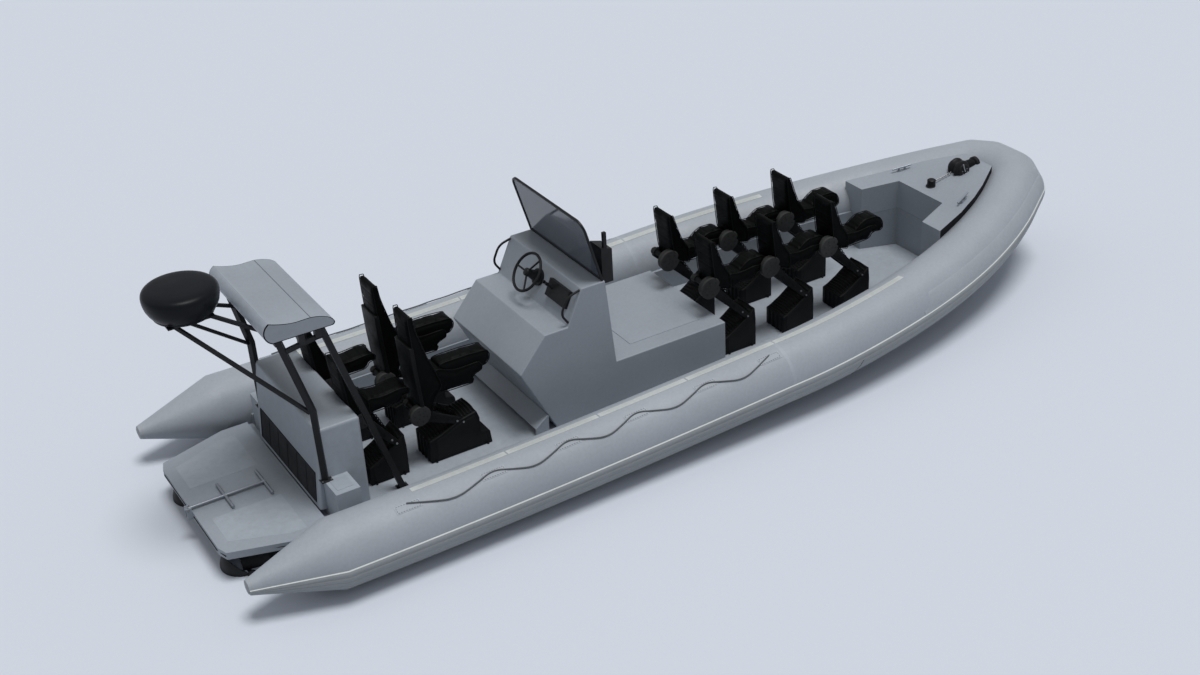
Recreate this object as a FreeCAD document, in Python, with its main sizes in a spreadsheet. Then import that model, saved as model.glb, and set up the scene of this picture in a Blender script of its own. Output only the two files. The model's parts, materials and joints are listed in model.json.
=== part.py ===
import FreeCAD, Part
import math
import os

Vector = FreeCAD.Vector

# Inflatable rib boat: a rigid deep-V hull with an air-filled collar, centre console,
# ten jockey seats, an aft arch and twin waterjets.
# Frame: X to the bow, Y to port, Z up. The origin is on the centreline at the waterline.

SIZES = [
    # Collar
    ("collar_radius", 310.0),
    ("collar_tip_x", -5000.0),
    ("collar_seam_x", -4250.0),
    ("collar_length", 8482.0),
    ("collar_spread", 1369.0),
    ("collar_stern_z", 335.0),
    ("collar_rise", 505.0),
    ("collar_tip_radius", 62.0),
    ("collar_corner_length", 120.0),
    ("collar_seat_clearance", 0.3),
    ("strake_thickness", 14.0),
    ("lifeline_radius", 6.0),
    ("lifeline_clearance", 1.3),
    # Hull
    ("transom_x", -4100.0),
    ("keel_depth", 560.0),
    ("chine_half_width", 1020.0),
    ("transom_top_z", 230.0),
    ("transom_wall", 80.0),
    ("liner_wall", 20.0),
    ("deck_z", 200.0),
    ("deck_thickness", 15.0),
    ("deck_clearance", 1.0),
    ("bow_eye_radius", 45.0),
    ("bow_eye_hole_radius", 12.5),
    ("bow_eye_thickness", 14.0),
    # Swim platform
    ("platform_thickness", 72.0),
    ("platform_aft_x", -5000.0),
    ("platform_half_width", 998.0),
    ("platform_aft_half_width", 730.0),
    ("platform_corner_radius", 70.0),
    # Boarding ladder
    ("ladder_tube_radius", 15.0),
    ("ladder_length", 718.0),
    ("ladder_rung_length", 410.0),
    ("ladder_rung_pitch", 360.0),
    ("ladder_offset", 40.0),
    ("ladder_pin_radius", 6.0),
    ("ladder_hinge_offset", 32.0),
    ("ladder_rest_gap", 8.0),
    ("ladder_hinge_clearance", 0.05),
    # Engine box
    ("engine_box_aft_x", -4090.0),
    ("engine_box_top_aft_x", -4010.0),
    ("engine_box_forward_x", -3620.0),
    ("engine_box_half_width", 706.0),
    ("engine_box_top_z", 1080.0),
    ("engine_box_edge_radius", 25.0),
    ("quarter_locker_top_z", 595.0),
    ("quarter_locker_forward_x", -3800.0),
    ("quarter_locker_inset", 13.0),
    ("grille_width", 1260.0),
    ("grille_height", 300.0),
    ("grille_thickness", 18.0),
    ("engine_length", 1000.0),
    ("engine_width", 540.0),
    ("engine_height", 350.0),
    ("engine_spacing", 830.0),
    ("engine_aft_x", -3950.0),
    ("engine_clearance", 5.0),
    # Waterjets
    ("jet_spacing", 1200.0),
    ("jet_axis_z", -5.0),
    ("jet_flange_radius", 190.0),
    ("jet_flange_thickness", 20.0),
    ("jet_housing_radius", 160.0),
    ("jet_throat_radius", 100.0),
    ("jet_bore_radius", 82.0),
    ("jet_housing_length", 560.0),
    ("jet_steer_x", -4640.0),
    ("jet_ear_z", 172.0),
    ("nozzle_entry_radius", 156.0),
    ("nozzle_exit_radius", 112.0),
    ("nozzle_wall", 12.0),
    ("nozzle_length", 230.0),
    ("nozzle_lead", 40.0),
    ("nozzle_pin_radius", 12.0),
    ("nozzle_pin_clearance", 0.05),
    ("bucket_pivot_x", -4785.0),
    ("bucket_radius", 200.0),
    ("bucket_wall", 14.0),
    ("bucket_upper_angle", 40.0),
    ("bucket_lower_angle", 44.0),
    # Arch
    ("arch_tube_width", 52.0),
    ("arch_aft_foot_x", -4000.0),
    ("arch_aft_foot_y", 712.0),
    ("arch_bend_x", -4010.0),
    ("arch_bend_y", 700.0),
    ("arch_bend_z", 1270.0),
    ("arch_aft_top_x", -4175.0),
    ("arch_top_y", 600.0),
    ("arch_forward_foot_x", -3300.0),
    ("arch_forward_foot_y", 663.0),
    ("arch_forward_top_x", -3800.0),
    ("arch_top_z", 1955.0),
    ("wing_half_width", 620.0),
    ("wing_aft_x", -4290.0),
    ("wing_forward_x", -3680.0),
    ("wing_depth", 186.0),
    ("radome_radius", 317.0),
    ("radome_height", 262.0),
    ("radome_x", -4720.0),
    ("radome_base_z", 2128.0),
    ("radome_plate_thickness", 12.0),
    ("radome_strut_width", 30.0),
    ("radome_plate_half", 200.0),
    ("radome_strut_head_x", -4850.0),
    ("radome_strut_head_y", 117.0),
    ("radome_arm_head_x", -4550.0),
    ("radome_arm_foot_y", 250.0),
    # Console
    ("console_half_width", 656.0),
    ("console_knee_x", -2062.0),
    ("console_knee_z", 886.0),
    ("console_foot_x", -1720.0),
    ("console_shelf_x", -1785.0),
    ("console_shelf_z", 1208.0),
    ("console_dash_x", -1547.0),
    ("console_crest_x", -1385.0),
    ("console_top_x", -1138.0),
    ("console_top_z", 1549.0),
    ("console_front_x", -1060.0),
    ("trunk_top_z", 686.0),
    ("trunk_forward_x", 159.0),
    ("foot_rest_top_z", 380.0),
    ("foot_rest_top_x", -1812.0),
    ("foot_rest_bottom_z", 275.0),
    ("foot_rest_bottom_x", -1950.0),
    ("foot_rest_thickness", 18.0),
    # Windscreen
    ("screen_half_width", 650.0),
    ("screen_height", 640.0),
    ("screen_rake", 15.6),
    ("screen_corner_radius", 110.0),
    ("screen_frame_width", 22.0),
    ("screen_pane_thickness", 6.0),
    ("screen_pane_clearance", 0.3),
    ("side_unit_top_z", 1860.0),
    ("side_unit_bottom_z", 1500.0),
    ("side_unit_forward_x", -1030.0),
    ("side_unit_inner_y", 430.0),
    ("side_unit_outer_y", 620.0),
    # Helm
    ("wheel_radius", 181.5),
    ("wheel_rim_radius", 13.0),
    ("wheel_hub_radius", 38.0),
    ("wheel_z", 1405.0),
    ("wheel_standoff", 152.0),
    ("wheel_tilt", 37.6),
    ("wheel_bore_radius", 10.0),
    ("wheel_bore_clearance", 0.05),
    ("throttle_length", 340.0),
    ("throttle_width", 165.0),
    ("throttle_height", 40.0),
    ("throttle_inner_y", 215.0),
    ("throttle_low_z", 1330.0),
    ("grab_rail_radius", 11.0),
    ("grab_rail_standoff", 112.0),
    ("grab_rail_high_z", 1493.0),
    ("grab_rail_low_z", 1339.0),
    # Seats
    ("seat_offset", 350.0),
    ("seat_half_width", 150.0),
    ("seat_base_half_width", 145.0),
    ("seat_length", 660.0),
    ("seat_height", 1280.0),
    ("helm_seat_length", 735.0),
    ("helm_seat_height", 1522.0),
    ("seat_arm_width", 46.0),
    ("aft_seat_x", -3600.0),
    ("helm_seat_x", -2960.0),
    ("first_row_x", 182.0),
    ("row_pitch", 709.0),
    # Bow
    ("bow_locker_half_width", 753.0),
    ("bow_notch_half_width", 480.0),
    ("bow_deck_lift", 6.0),
    ("cleat_length", 210.0),
    ("windlass_length", 620.0),
]

doc = FreeCAD.newDocument("inflatable_rib_boat")
sheet = doc.addObject("Spreadsheet::Sheet", "Sizes")
for row, (alias, value) in enumerate(SIZES, start=1):
    sheet.set("A%d" % row, alias)
    sheet.set("B%d" % row, str(value))
    sheet.setAlias("B%d" % row, alias)
doc.recompute()


class Sheet:
    """Reads a driving dimension from the sheet by its alias."""

    def __getattr__(self, alias):
        return float(sheet.get(alias))


size = Sheet()
parts = {}

# Lengths that follow the collar's
OVERRUN = 20.0 * size.deck_clearance
HULL_LENGTH_SHARE = 0.96675
LOCKER_START_SHARE = 0.82292
LOCKER_LENGTH_SHARE = 0.14030
NOTCH_DEPTH_SHARE = 0.04598
hull_length = HULL_LENGTH_SHARE * size.collar_length
locker_aft_x = size.collar_seam_x + LOCKER_START_SHARE * size.collar_length
locker_length = LOCKER_LENGTH_SHARE * size.collar_length
notch_depth = NOTCH_DEPTH_SHARE * size.collar_length
# Building blocks
def keep(name, shape):
    """Adds a finished shape as one named sub-part."""
    piece = doc.addObject("Part::Feature", name)
    piece.Label = name
    piece.Shape = shape
    piece.Placement = shape.Placement
    parts[name] = piece
    return piece


def origin_plane(body, role):
    for plane in body.Origin.OriginFeatures:
        if plane.Role == role:
            return plane
    raise ValueError(role)


def sketch_on(body, name, role):
    sketch = body.newObject("Sketcher::SketchObject", name)
    sketch.AttachmentSupport = [(origin_plane(body, role), "")]
    sketch.MapMode = "FlatFace"
    return sketch


def closed_outline(sketch, points):
    """Draws a closed outline of straight edges."""
    for start, end in zip(points, points[1:] + points[:1]):
        sketch.addGeometry(Part.LineSegment(Vector(*start, 0), Vector(*end, 0)))


def padded_outline(name, role, points, length, lift=None):
    """A body whose one sketch is padded both ways about its plane, or up from it."""
    body = doc.addObject("PartDesign::Body", name)
    body.Label = name
    sketch = sketch_on(body, name + "_outline", role)
    closed_outline(sketch, points)
    pad = body.newObject("PartDesign::Pad", name + "_pad")
    pad.Profile = sketch
    pad.setExpression("Length", length)
    if lift is None:
        pad.SideType = "Symmetric"
    else:
        body.setExpression("Placement.Base.z", lift)
    doc.recompute()
    parts[name] = body
    return body


def mirrored(shape):
    """The same shape on the other side of the centreline."""
    return shape.mirror(Vector(0, 0, 0), Vector(0, 1, 0))


def unit(vector):
    copy = Vector(vector)
    copy.normalize()
    return copy


def box_between(low, high):
    span = high - low
    return Part.makeBox(span.x, span.y, span.z, low)


def rod(start, end, radius):
    return Part.makeCylinder(radius, (end - start).Length, start, end - start)


def joined(shapes):
    """One solid out of shapes that meet."""
    result = shapes[0]
    for shape in shapes[1:]:
        result = result.fuse(shape)
    return result.removeSplitter()


def place_profile(profile, centre, normal, up, stretch=1.0):
    """Stands a flat profile, drawn with X up and Y outboard, square to a route."""
    side = unit(normal.cross(up))
    top = side.cross(normal)
    matrix = FreeCAD.Matrix(
        top.x, side.x * stretch, normal.x, centre.x,
        top.y, side.y * stretch, normal.y, centre.y,
        top.z, side.z * stretch, normal.z, centre.z,
        0, 0, 0, 1)
    return Part.Wire(profile.transformGeometry(matrix).Edges)


def round_profile(radius):
    return Part.Wire([Part.Circle(Vector(0, 0, 0), Vector(0, 0, 1), radius).toShape()])


def square_profile(width):
    half = width / 2
    corners = [Vector(-half, -half, 0), Vector(half, -half, 0), Vector(half, half, 0), Vector(-half, half, 0)]
    return Part.makePolygon(corners + corners[:1])


def mitred_bar(points, profile, plane_normal):
    """A bar of one section along straight runs in one plane, mitred at its bends."""
    wires = []
    for index, point in enumerate(points):
        before = unit(point - points[index - 1]) if index > 0 else None
        after = unit(points[index + 1] - point) if index + 1 < len(points) else None
        normal = unit((before or after) + (after or before))
        stretch = 1.0 / normal.dot(after or before)
        wires.append(place_profile(profile, point, normal, plane_normal, stretch))
    return Part.makeLoft(wires, True, True)


ARC_SHARE = 0.45


def tangent_route(points):
    """Straight runs joined by tangent arcs, as a wire."""
    edges = []
    start = points[0]
    for before, corner, after in zip(points, points[1:], points[2:]):
        first = before - corner
        second = after - corner
        turn = math.pi - first.getAngle(second)
        cut = ARC_SHARE * min(first.Length, second.Length)
        radius = cut / math.tan(turn / 2)
        enter = corner + unit(first) * cut
        leave = corner + unit(second) * cut
        bisector = unit(unit(first) + unit(second))
        centre = corner + bisector * math.hypot(radius, cut)
        middle = centre - bisector * radius
        edges.append(Part.LineSegment(start, enter).toShape())
        edges.append(Part.Arc(enter, middle, leave).toShape())
        start = leave
    edges.append(Part.LineSegment(start, points[-1]).toShape())
    return Part.Wire(edges)


def tube_along(points, radius):
    route = tangent_route(points)
    section = Part.Wire([Part.Circle(points[0], points[1] - points[0], radius).toShape()])
    return route.makePipeShell([section], True, False)


# Collar centreline, port side, from the stern seam to the bow
STATION_LENGTH_SHARES = [0.0, 0.177, 0.354, 0.5305, 0.6496, 0.7663, 0.8795, 0.9337]
STATION_SPREAD_SHARES = [1.0, 0.990, 0.979, 0.968, 0.926, 0.805, 0.594, 0.443]
STATION_RISE_SHARES = [0.0, 0.0, 0.065, 0.178, 0.279, 0.410, 0.612, 0.762]
CORNER_RISE_SHARES = [0.960, 1.0]
CORNER_SPREAD_SHARE = 0.193
CORNER_HEADING = math.radians(34.0)
SIDE_CHAMBER_STATIONS = 4


def collar_stations():
    stations = []
    for along, spread, rise in zip(STATION_LENGTH_SHARES, STATION_SPREAD_SHARES, STATION_RISE_SHARES):
        stations.append(Vector(size.collar_seam_x + along * size.collar_length,
                               spread * size.collar_spread,
                               size.collar_stern_z + rise * size.collar_rise))
    return stations


def bow_corner():
    """The two mitre points of the blunt bow and the point on the centreline."""
    bow_x = size.collar_seam_x + size.collar_length
    apex = Vector(bow_x, CORNER_SPREAD_SHARE * size.collar_spread, 0)
    reach = size.collar_corner_length
    first = apex + Vector(-math.cos(CORNER_HEADING), math.sin(CORNER_HEADING), 0) * reach
    second = apex + Vector(0, -1, 0) * reach
    first.z = size.collar_stern_z + CORNER_RISE_SHARES[0] * size.collar_rise
    second.z = size.collar_stern_z + CORNER_RISE_SHARES[1] * size.collar_rise
    return [first, second, Vector(bow_x, 0, second.z)]


def collar_frames():
    """Centre, route direction and mitre stretch at each station of the port side."""
    stations = collar_stations()
    corner = bow_corner()
    frames = []
    for index, centre in enumerate(stations):
        before = stations[max(index - 1, 0)]
        after = (stations + corner)[index + 1]
        frames.append((centre, unit(after - before), 1.0))
    arrive = unit(Vector(math.cos(CORNER_HEADING), -math.sin(CORNER_HEADING), frames[-1][1].z))
    across = unit(corner[1] - corner[0])
    front = Vector(0, -1, 0)
    first_mitre = unit(arrive + across)
    second_mitre = unit(across + front)
    frames.append((corner[0], first_mitre, 1.0 / first_mitre.dot(across)))
    frames.append((corner[1], second_mitre, 1.0 / second_mitre.dot(front)))
    frames.append((corner[2], front, 1.0))
    return frames


FRAMES = collar_frames()
UP = Vector(0, 0, 1)


def framed(profile, frame):
    centre, direction, stretch = frame
    return place_profile(profile, centre, direction, UP, stretch)


def swept(profile_at, frames, ruled):
    wires = [framed(profile_at(frame), frame) for frame in frames]
    return Part.makeLoft(wires, True, ruled)


def collar_side(radius):
    """Port side chamber with its end cone."""
    tip_radius = size.collar_tip_radius + radius - size.collar_radius
    seam = FRAMES[0][0]
    cone_length = size.collar_seam_x - size.collar_tip_x - tip_radius
    cone = Part.makeCone(radius, tip_radius, cone_length, seam, Vector(-1, 0, 0))
    cap = Part.makeSphere(tip_radius, seam - Vector(cone_length, 0, 0))
    first = (seam, Vector(1, 0, 0), 1.0)
    chamber = swept(lambda frame: round_profile(radius), [first] + FRAMES[1:SIDE_CHAMBER_STATIONS], False)
    return joined([chamber, cone, cap])


def collar_bow_half(radius):
    smooth = FRAMES[SIDE_CHAMBER_STATIONS - 1:-2]
    side = swept(lambda frame: round_profile(radius), smooth, False)
    corner = swept(lambda frame: round_profile(radius), FRAMES[-3:-1], True)
    front = swept(lambda frame: round_profile(radius), FRAMES[-2:], True)
    return joined([side, corner, front])


def collar_bow(radius):
    half = collar_bow_half(radius)
    return joined([half, mirrored(half)])


port_side = collar_side(size.collar_radius)
keep("collar_port", port_side)
keep("collar_starboard", mirrored(port_side))
keep("collar_bow", collar_bow(size.collar_radius))

seat_radius = size.collar_radius + size.collar_seat_clearance
port_seat = collar_side(seat_radius)
collar_envelope = [port_seat, mirrored(port_seat), collar_bow(seat_radius)]


# Rubbing strake, a band round the outside of the collar from cone tip to cone tip
STRAKE_TOP = math.radians(3.0)
STRAKE_BOTTOM = math.radians(-36.0)


def strake_profile(radius):
    """A band between two arcs, drawn with X up and Y outboard."""
    inner = radius - size.strake_thickness
    outer = radius + size.strake_thickness
    middle = (STRAKE_TOP + STRAKE_BOTTOM) / 2

    def at(distance, angle):
        return Vector(distance * math.sin(angle), -distance * math.cos(angle), 0)

    return Part.Wire([
        Part.Arc(at(outer, STRAKE_BOTTOM), at(outer, middle), at(outer, STRAKE_TOP)).toShape(),
        Part.LineSegment(at(outer, STRAKE_TOP), at(inner, STRAKE_TOP)).toShape(),
        Part.Arc(at(inner, STRAKE_TOP), at(inner, middle), at(inner, STRAKE_BOTTOM)).toShape(),
        Part.LineSegment(at(inner, STRAKE_BOTTOM), at(outer, STRAKE_BOTTOM)).toShape()])


def strake_half():
    seam = FRAMES[0][0]
    tip = Vector(size.collar_tip_x + size.collar_tip_radius, seam.y, seam.z)
    tip_wire = place_profile(strake_profile(size.collar_tip_radius), tip, Vector(1, 0, 0), UP)
    seam_wire = place_profile(strake_profile(size.collar_radius), seam, Vector(1, 0, 0), UP)
    cone = Part.makeLoft([tip_wire, seam_wire], True, True)
    profile = strake_profile(size.collar_radius)
    first = (seam, Vector(1, 0, 0), 1.0)
    aft = swept(lambda frame: profile, [first] + FRAMES[1:SIDE_CHAMBER_STATIONS], False)
    forward = swept(lambda frame: profile, FRAMES[SIDE_CHAMBER_STATIONS - 1:-2], False)
    corner = swept(lambda frame: profile, FRAMES[-3:-1], True)
    front = swept(lambda frame: profile, FRAMES[-2:], True)
    return joined([cone, aft, forward, corner, front])


port_strake = strake_half()
strake = joined([port_strake, mirrored(port_strake)])
for tube in collar_envelope:
    strake = strake.cut(tube)
keep("rubbing_strake", strake)


# Lifelines, looped from patch to patch on the outer shoulder of each side
PATCH_LENGTH_SHARES = [0.0759, 0.1707, 0.2574, 0.3398, 0.4275, 0.5119]
PATCH_ANGLE = math.radians(70.0)
LOOP_ANGLE = math.radians(48.0)
SLOPE_ANGLE = math.radians(59.0)
LOOP_STOPS = [(0.22, SLOPE_ANGLE), (0.5, LOOP_ANGLE), (0.78, SLOPE_ANGLE), (1.0, PATCH_ANGLE)]


def collar_point(along_share, angle, stand_off):
    """A point beside the side chamber, at an angle above the horizontal."""
    target = size.collar_seam_x + along_share * size.collar_length
    for (left, _, _), (right, _, _) in zip(FRAMES, FRAMES[1:]):
        if right.x >= target:
            share = (target - left.x) / (right.x - left.x)
            centre = left + (right - left) * share
            break
    reach = size.collar_radius + stand_off
    return centre + Vector(0, math.cos(angle), math.sin(angle)) * reach


def lifeline():
    stand_off = size.lifeline_radius + size.lifeline_clearance
    points = [collar_point(PATCH_LENGTH_SHARES[0], PATCH_ANGLE, stand_off)]
    for start, end in zip(PATCH_LENGTH_SHARES, PATCH_LENGTH_SHARES[1:]):
        for share, angle in LOOP_STOPS:
            points.append(collar_point(start + share * (end - start), angle, stand_off))
    return tube_along(points, size.lifeline_radius)


port_line = lifeline()
keep("lifeline_port", port_line)
keep("lifeline_starboard", mirrored(port_line))
# Hull: deep V with chines, cut back to the collar and hollowed above the deck
HULL_LENGTH_SHARES = [0.0, 0.378, 0.500, 0.622, 0.744, 0.866, 0.985]
KEEL_DEPTH_SHARES = [1.0, 1.0, 1.0, 0.965, 0.85, 0.50, -0.57]
CHINE_WIDTH_SHARES = [1.0, 1.02, 1.0, 0.96, 0.84, 0.59, 0.186]
CHINE_DEPTH_SHARES = [0.25, 0.215, 0.16, 0.09, -0.08, -0.36, -0.91]
NOTCH_TAPER_SHARE = 0.71
BOW_EYE_LENGTH_SHARE = 0.990
BOW_EYE_DEPTH_SHARE = -0.72


def collar_centre(along_x):
    """The collar's centre at a place along the boat."""
    for (left, _, _), (right, _, _) in zip(FRAMES, FRAMES[1:]):
        if right.x >= along_x > left.x - OVERRUN:
            return left + (right - left) * ((along_x - left.x) / (right.x - left.x))
    return FRAMES[-1][0]


def hull_block():
    wires = []
    for along, keel, chine, chine_depth in zip(
            HULL_LENGTH_SHARES, KEEL_DEPTH_SHARES, CHINE_WIDTH_SHARES, CHINE_DEPTH_SHARES):
        x = size.transom_x + along * hull_length
        centre = collar_centre(x)
        chine_y = chine * size.chine_half_width
        shelf_y = centre.y - size.collar_radius / 4
        points = [Vector(x, 0, -keel * size.keel_depth),
                  Vector(x, chine_y, -chine_depth * size.keel_depth),
                  Vector(x, shelf_y, centre.z),
                  Vector(x, -shelf_y, centre.z),
                  Vector(x, -chine_y, -chine_depth * size.keel_depth)]
        wires.append(Part.makePolygon(points + points[:1]))
    straight_run = Part.makeLoft(wires[:2], True, True)
    forward_run = Part.makeLoft(wires[1:], True, False)
    return joined([straight_run, forward_run])


def liner_outline(inset):
    """Plan of the cockpit, half on each side, from the transom to the bow locker."""
    half = []
    aft_x = size.transom_x + size.transom_wall + inset
    stops = [aft_x] + [frame[0].x for frame in FRAMES if aft_x < frame[0].x < locker_aft_x]
    for x in stops + [locker_aft_x]:
        centre = collar_centre(x)
        half.append((x, centre.y - size.collar_radius - size.liner_wall - inset))
    notch_x = locker_aft_x + notch_depth - inset
    half.append((locker_aft_x, size.bow_notch_half_width - inset))
    half.append((notch_x, NOTCH_TAPER_SHARE * size.bow_notch_half_width - inset))
    return half + [(x, -y) for x, y in reversed(half)]


def prism(outline, low, high):
    points = [Vector(x, y, low) for x, y in outline]
    face = Part.Face(Part.makePolygon(points + points[:1]))
    return face.extrude(Vector(0, 0, high - low))


deck_underside = size.deck_z - size.deck_thickness
cockpit_top = size.collar_stern_z + size.collar_rise + size.collar_radius


def hull_shape():
    hull = hull_block()
    hull = hull.cut(prism(liner_outline(0), deck_underside, cockpit_top))
    for tube in collar_envelope:
        hull = hull.cut(tube)
    transom_top = box_between(
        Vector(size.transom_x - OVERRUN, -size.collar_spread, size.transom_top_z),
        Vector(size.transom_x + size.transom_wall, size.collar_spread, cockpit_top))
    hull = hull.cut(transom_top)
    for side in (1, -1):
        hull = hull.cut(engine_block(side, size.engine_clearance))
    eye_x = size.transom_x + BOW_EYE_LENGTH_SHARE * hull_length
    eye_z = -BOW_EYE_DEPTH_SHARE * size.keel_depth
    half_plate = Vector(0, size.bow_eye_thickness / 2, 0)
    centre = Vector(eye_x, 0, eye_z)
    plate = rod(centre - half_plate, centre + half_plate, size.bow_eye_radius)
    web = box_between(centre - Vector(2 * size.bow_eye_radius, 0, 0) - half_plate,
                      centre + Vector(0, 0, size.bow_eye_radius) + half_plate)
    hole = rod(centre - half_plate * 2, centre + half_plate * 2, size.bow_eye_hole_radius)
    return joined([hull, plate, web]).cut(hole)


def engine_block(side, clearance):
    """A plain block for one engine, or the bay round it."""
    centre_y = side * size.engine_spacing / 2
    half = size.engine_width / 2 + clearance
    bottom = deck_underside - size.engine_height - clearance
    return box_between(
        Vector(size.engine_aft_x - clearance, centre_y - half, bottom),
        Vector(size.engine_aft_x + size.engine_length + clearance, centre_y + half, deck_underside))


keep("hull", hull_shape())
keep("engine_port", engine_block(1, 0))
keep("engine_starboard", engine_block(-1, 0))

padded_outline("cockpit_deck", "XY_Plane", liner_outline(size.deck_clearance),
               "Sizes.deck_thickness", "Sizes.deck_z - Sizes.deck_thickness")

# Swim platform
PLATFORM_TAPER_SHARE = 0.72
platform_underside = size.transom_top_z
platform_top = platform_underside + size.platform_thickness


def platform_outline():
    taper_x = size.platform_aft_x + PLATFORM_TAPER_SHARE * (size.engine_box_aft_x - size.platform_aft_x)
    corner = size.platform_corner_radius
    half = [(size.platform_aft_x, size.platform_aft_half_width - corner / 2),
            (size.platform_aft_x + corner / 2, size.platform_aft_half_width + corner),
            (taper_x, size.platform_half_width),
            (size.engine_box_aft_x, size.platform_half_width)]
    return half + [(x, -y) for x, y in reversed(half)]


# Hinge of the boarding ladder: a knuckle between two ears on the platform's aft edge
KNUCKLE_SHARE = 1.2
KNUCKLE_HALF_SHARE = 1.4
EAR_SHARE = 0.8
RUNG_SHARE = 0.85
PIN_OVERRUN_SHARE = 1.5
hinge_x = size.platform_aft_x - size.ladder_hinge_offset
hinge_y = -size.ladder_offset
hinge_z = platform_top + size.ladder_tube_radius + size.ladder_rest_gap
knuckle_half = KNUCKLE_HALF_SHARE * size.ladder_tube_radius
ear_inner = knuckle_half + size.deck_clearance
ear_outer = ear_inner + EAR_SHARE * size.ladder_tube_radius


def ladder_ears():
    """Two ears on the platform's aft edge that carry the ladder's pin."""
    ears = []
    for near, far in ((ear_inner, ear_outer), (-ear_outer, -ear_inner)):
        low = Vector(hinge_x - size.ladder_tube_radius, hinge_y + near, platform_underside)
        high = Vector(size.platform_aft_x, hinge_y + far, hinge_z + size.ladder_tube_radius)
        ears.append(box_between(low, high))
    return ears


def across_hinge(reach, radius):
    return rod(Vector(hinge_x, hinge_y - reach, hinge_z), Vector(hinge_x, hinge_y + reach, hinge_z), radius)


def platform_shape():
    top = prism(platform_outline(), platform_underside, platform_top)
    shape = joined([top] + ladder_ears())
    bore_radius = size.ladder_pin_radius + size.ladder_hinge_clearance
    shape = shape.cut(across_hinge(PIN_OVERRUN_SHARE * ear_outer, bore_radius))
    for tube in collar_envelope[:2]:
        shape = shape.cut(tube)
    return shape


keep("swim_platform", platform_shape())


def ladder_shape():
    """Folding single-pole ladder, stowed forward on the platform."""
    root = Vector(hinge_x, hinge_y, hinge_z)
    tip = root + Vector(size.ladder_length, 0, 0)
    shapes = [rod(root, tip, size.ladder_tube_radius),
              across_hinge(knuckle_half, size.ladder_tube_radius * KNUCKLE_SHARE),
              across_hinge(ear_outer, size.ladder_pin_radius)]
    half = Vector(0, size.ladder_rung_length / 2, 0)
    for step in (0, 1):
        centre = tip - Vector(size.ladder_rung_pitch * step + size.ladder_tube_radius, 0, 0)
        shapes.append(rod(centre - half, centre + half, size.ladder_tube_radius * RUNG_SHARE))
    return joined(shapes)


keep("boarding_ladder", ladder_shape())


# Engine box with a low locker on each quarter
def engine_box_shape():
    profile = [Vector(size.engine_box_aft_x, 0, size.deck_z),
               Vector(size.engine_box_forward_x, 0, size.deck_z),
               Vector(size.engine_box_forward_x, 0, size.engine_box_top_z),
               Vector(size.engine_box_top_aft_x, 0, size.engine_box_top_z)]
    face = Part.Face(Part.makePolygon(profile + profile[:1]))
    face.translate(Vector(0, -size.engine_box_half_width, 0))
    box = face.extrude(Vector(0, 2 * size.engine_box_half_width, 0))
    edges = [edge for edge in box.Edges if edge.BoundBox.ZMax > size.deck_z + OVERRUN]
    box = box.makeFillet(size.engine_box_edge_radius, edges)
    shapes = [box]
    aft_x = size.transom_x + size.transom_wall
    locker_half_width = size.platform_half_width - size.quarter_locker_inset
    for side in (1, -1):
        spans = sorted((side * size.engine_box_half_width, side * locker_half_width))
        shapes.append(box_between(Vector(aft_x, spans[0], size.deck_z),
                                  Vector(size.quarter_locker_forward_x, spans[1], size.quarter_locker_top_z)))
    shape = joined(shapes)
    sill = box_between(Vector(size.engine_box_aft_x - OVERRUN, -size.collar_spread, deck_underside),
                       Vector(aft_x, size.collar_spread, platform_top))
    shape = shape.cut(sill)
    for tube in collar_envelope[:2]:
        shape = shape.cut(tube)
    return shape


box_solid = engine_box_shape()

# Intake grille set into the aft face of the box
box_lean = math.atan2(size.engine_box_top_aft_x - size.engine_box_aft_x, size.engine_box_top_z - size.deck_z)
grille_foot_z = platform_top + 2 * size.grille_thickness


def box_aft_x(z):
    return size.engine_box_aft_x + (z - size.deck_z) * math.tan(box_lean)


def grille_slab(grow):
    half = size.grille_width / 2 + grow
    low = grille_foot_z - grow
    high = grille_foot_z + size.grille_height + grow
    points = [Vector(box_aft_x(low) - grow, -half, low),
              Vector(box_aft_x(low) + size.grille_thickness + grow, -half, low),
              Vector(box_aft_x(high) + size.grille_thickness + grow, -half, high),
              Vector(box_aft_x(high) - grow, -half, high)]
    return Part.Face(Part.makePolygon(points + points[:1])).extrude(Vector(0, 2 * half, 0))


keep("engine_box", box_solid.cut(grille_slab(size.collar_seat_clearance)))
keep("intake_grille", grille_slab(0))

# Waterjets
EAR_HALF_SHARE = 2.5
EAR_REACH_SHARE = 3.0
BOSS_SHARE = 2.0
BUCKET_BOSS_SHARE = 1.6
BUCKET_HUB_SHARE = 3.5
WALL_DEPTH_SHARE = 1.5
ear_thickness = size.nozzle_wall
ear_half = EAR_HALF_SHARE * size.nozzle_pin_radius
housing_end_x = size.transom_x - size.jet_housing_length
throat_x = housing_end_x + size.nozzle_length / 2
ear_forward_x = throat_x + EAR_REACH_SHARE * size.nozzle_pin_radius


def revolved(points, axis_start):
    """A turned piece about a fore-and-aft axis; points are (x, radius)."""
    wire = [Vector(x, 0, radius) for x, radius in points]
    face = Part.Face(Part.makePolygon(wire + wire[:1]))
    solid = face.revolve(Vector(0, 0, 0), Vector(1, 0, 0), 360)
    solid.translate(axis_start)
    return solid


def jet_axis(side):
    return Vector(0, side * size.jet_spacing / 2, size.jet_axis_z)


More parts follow.
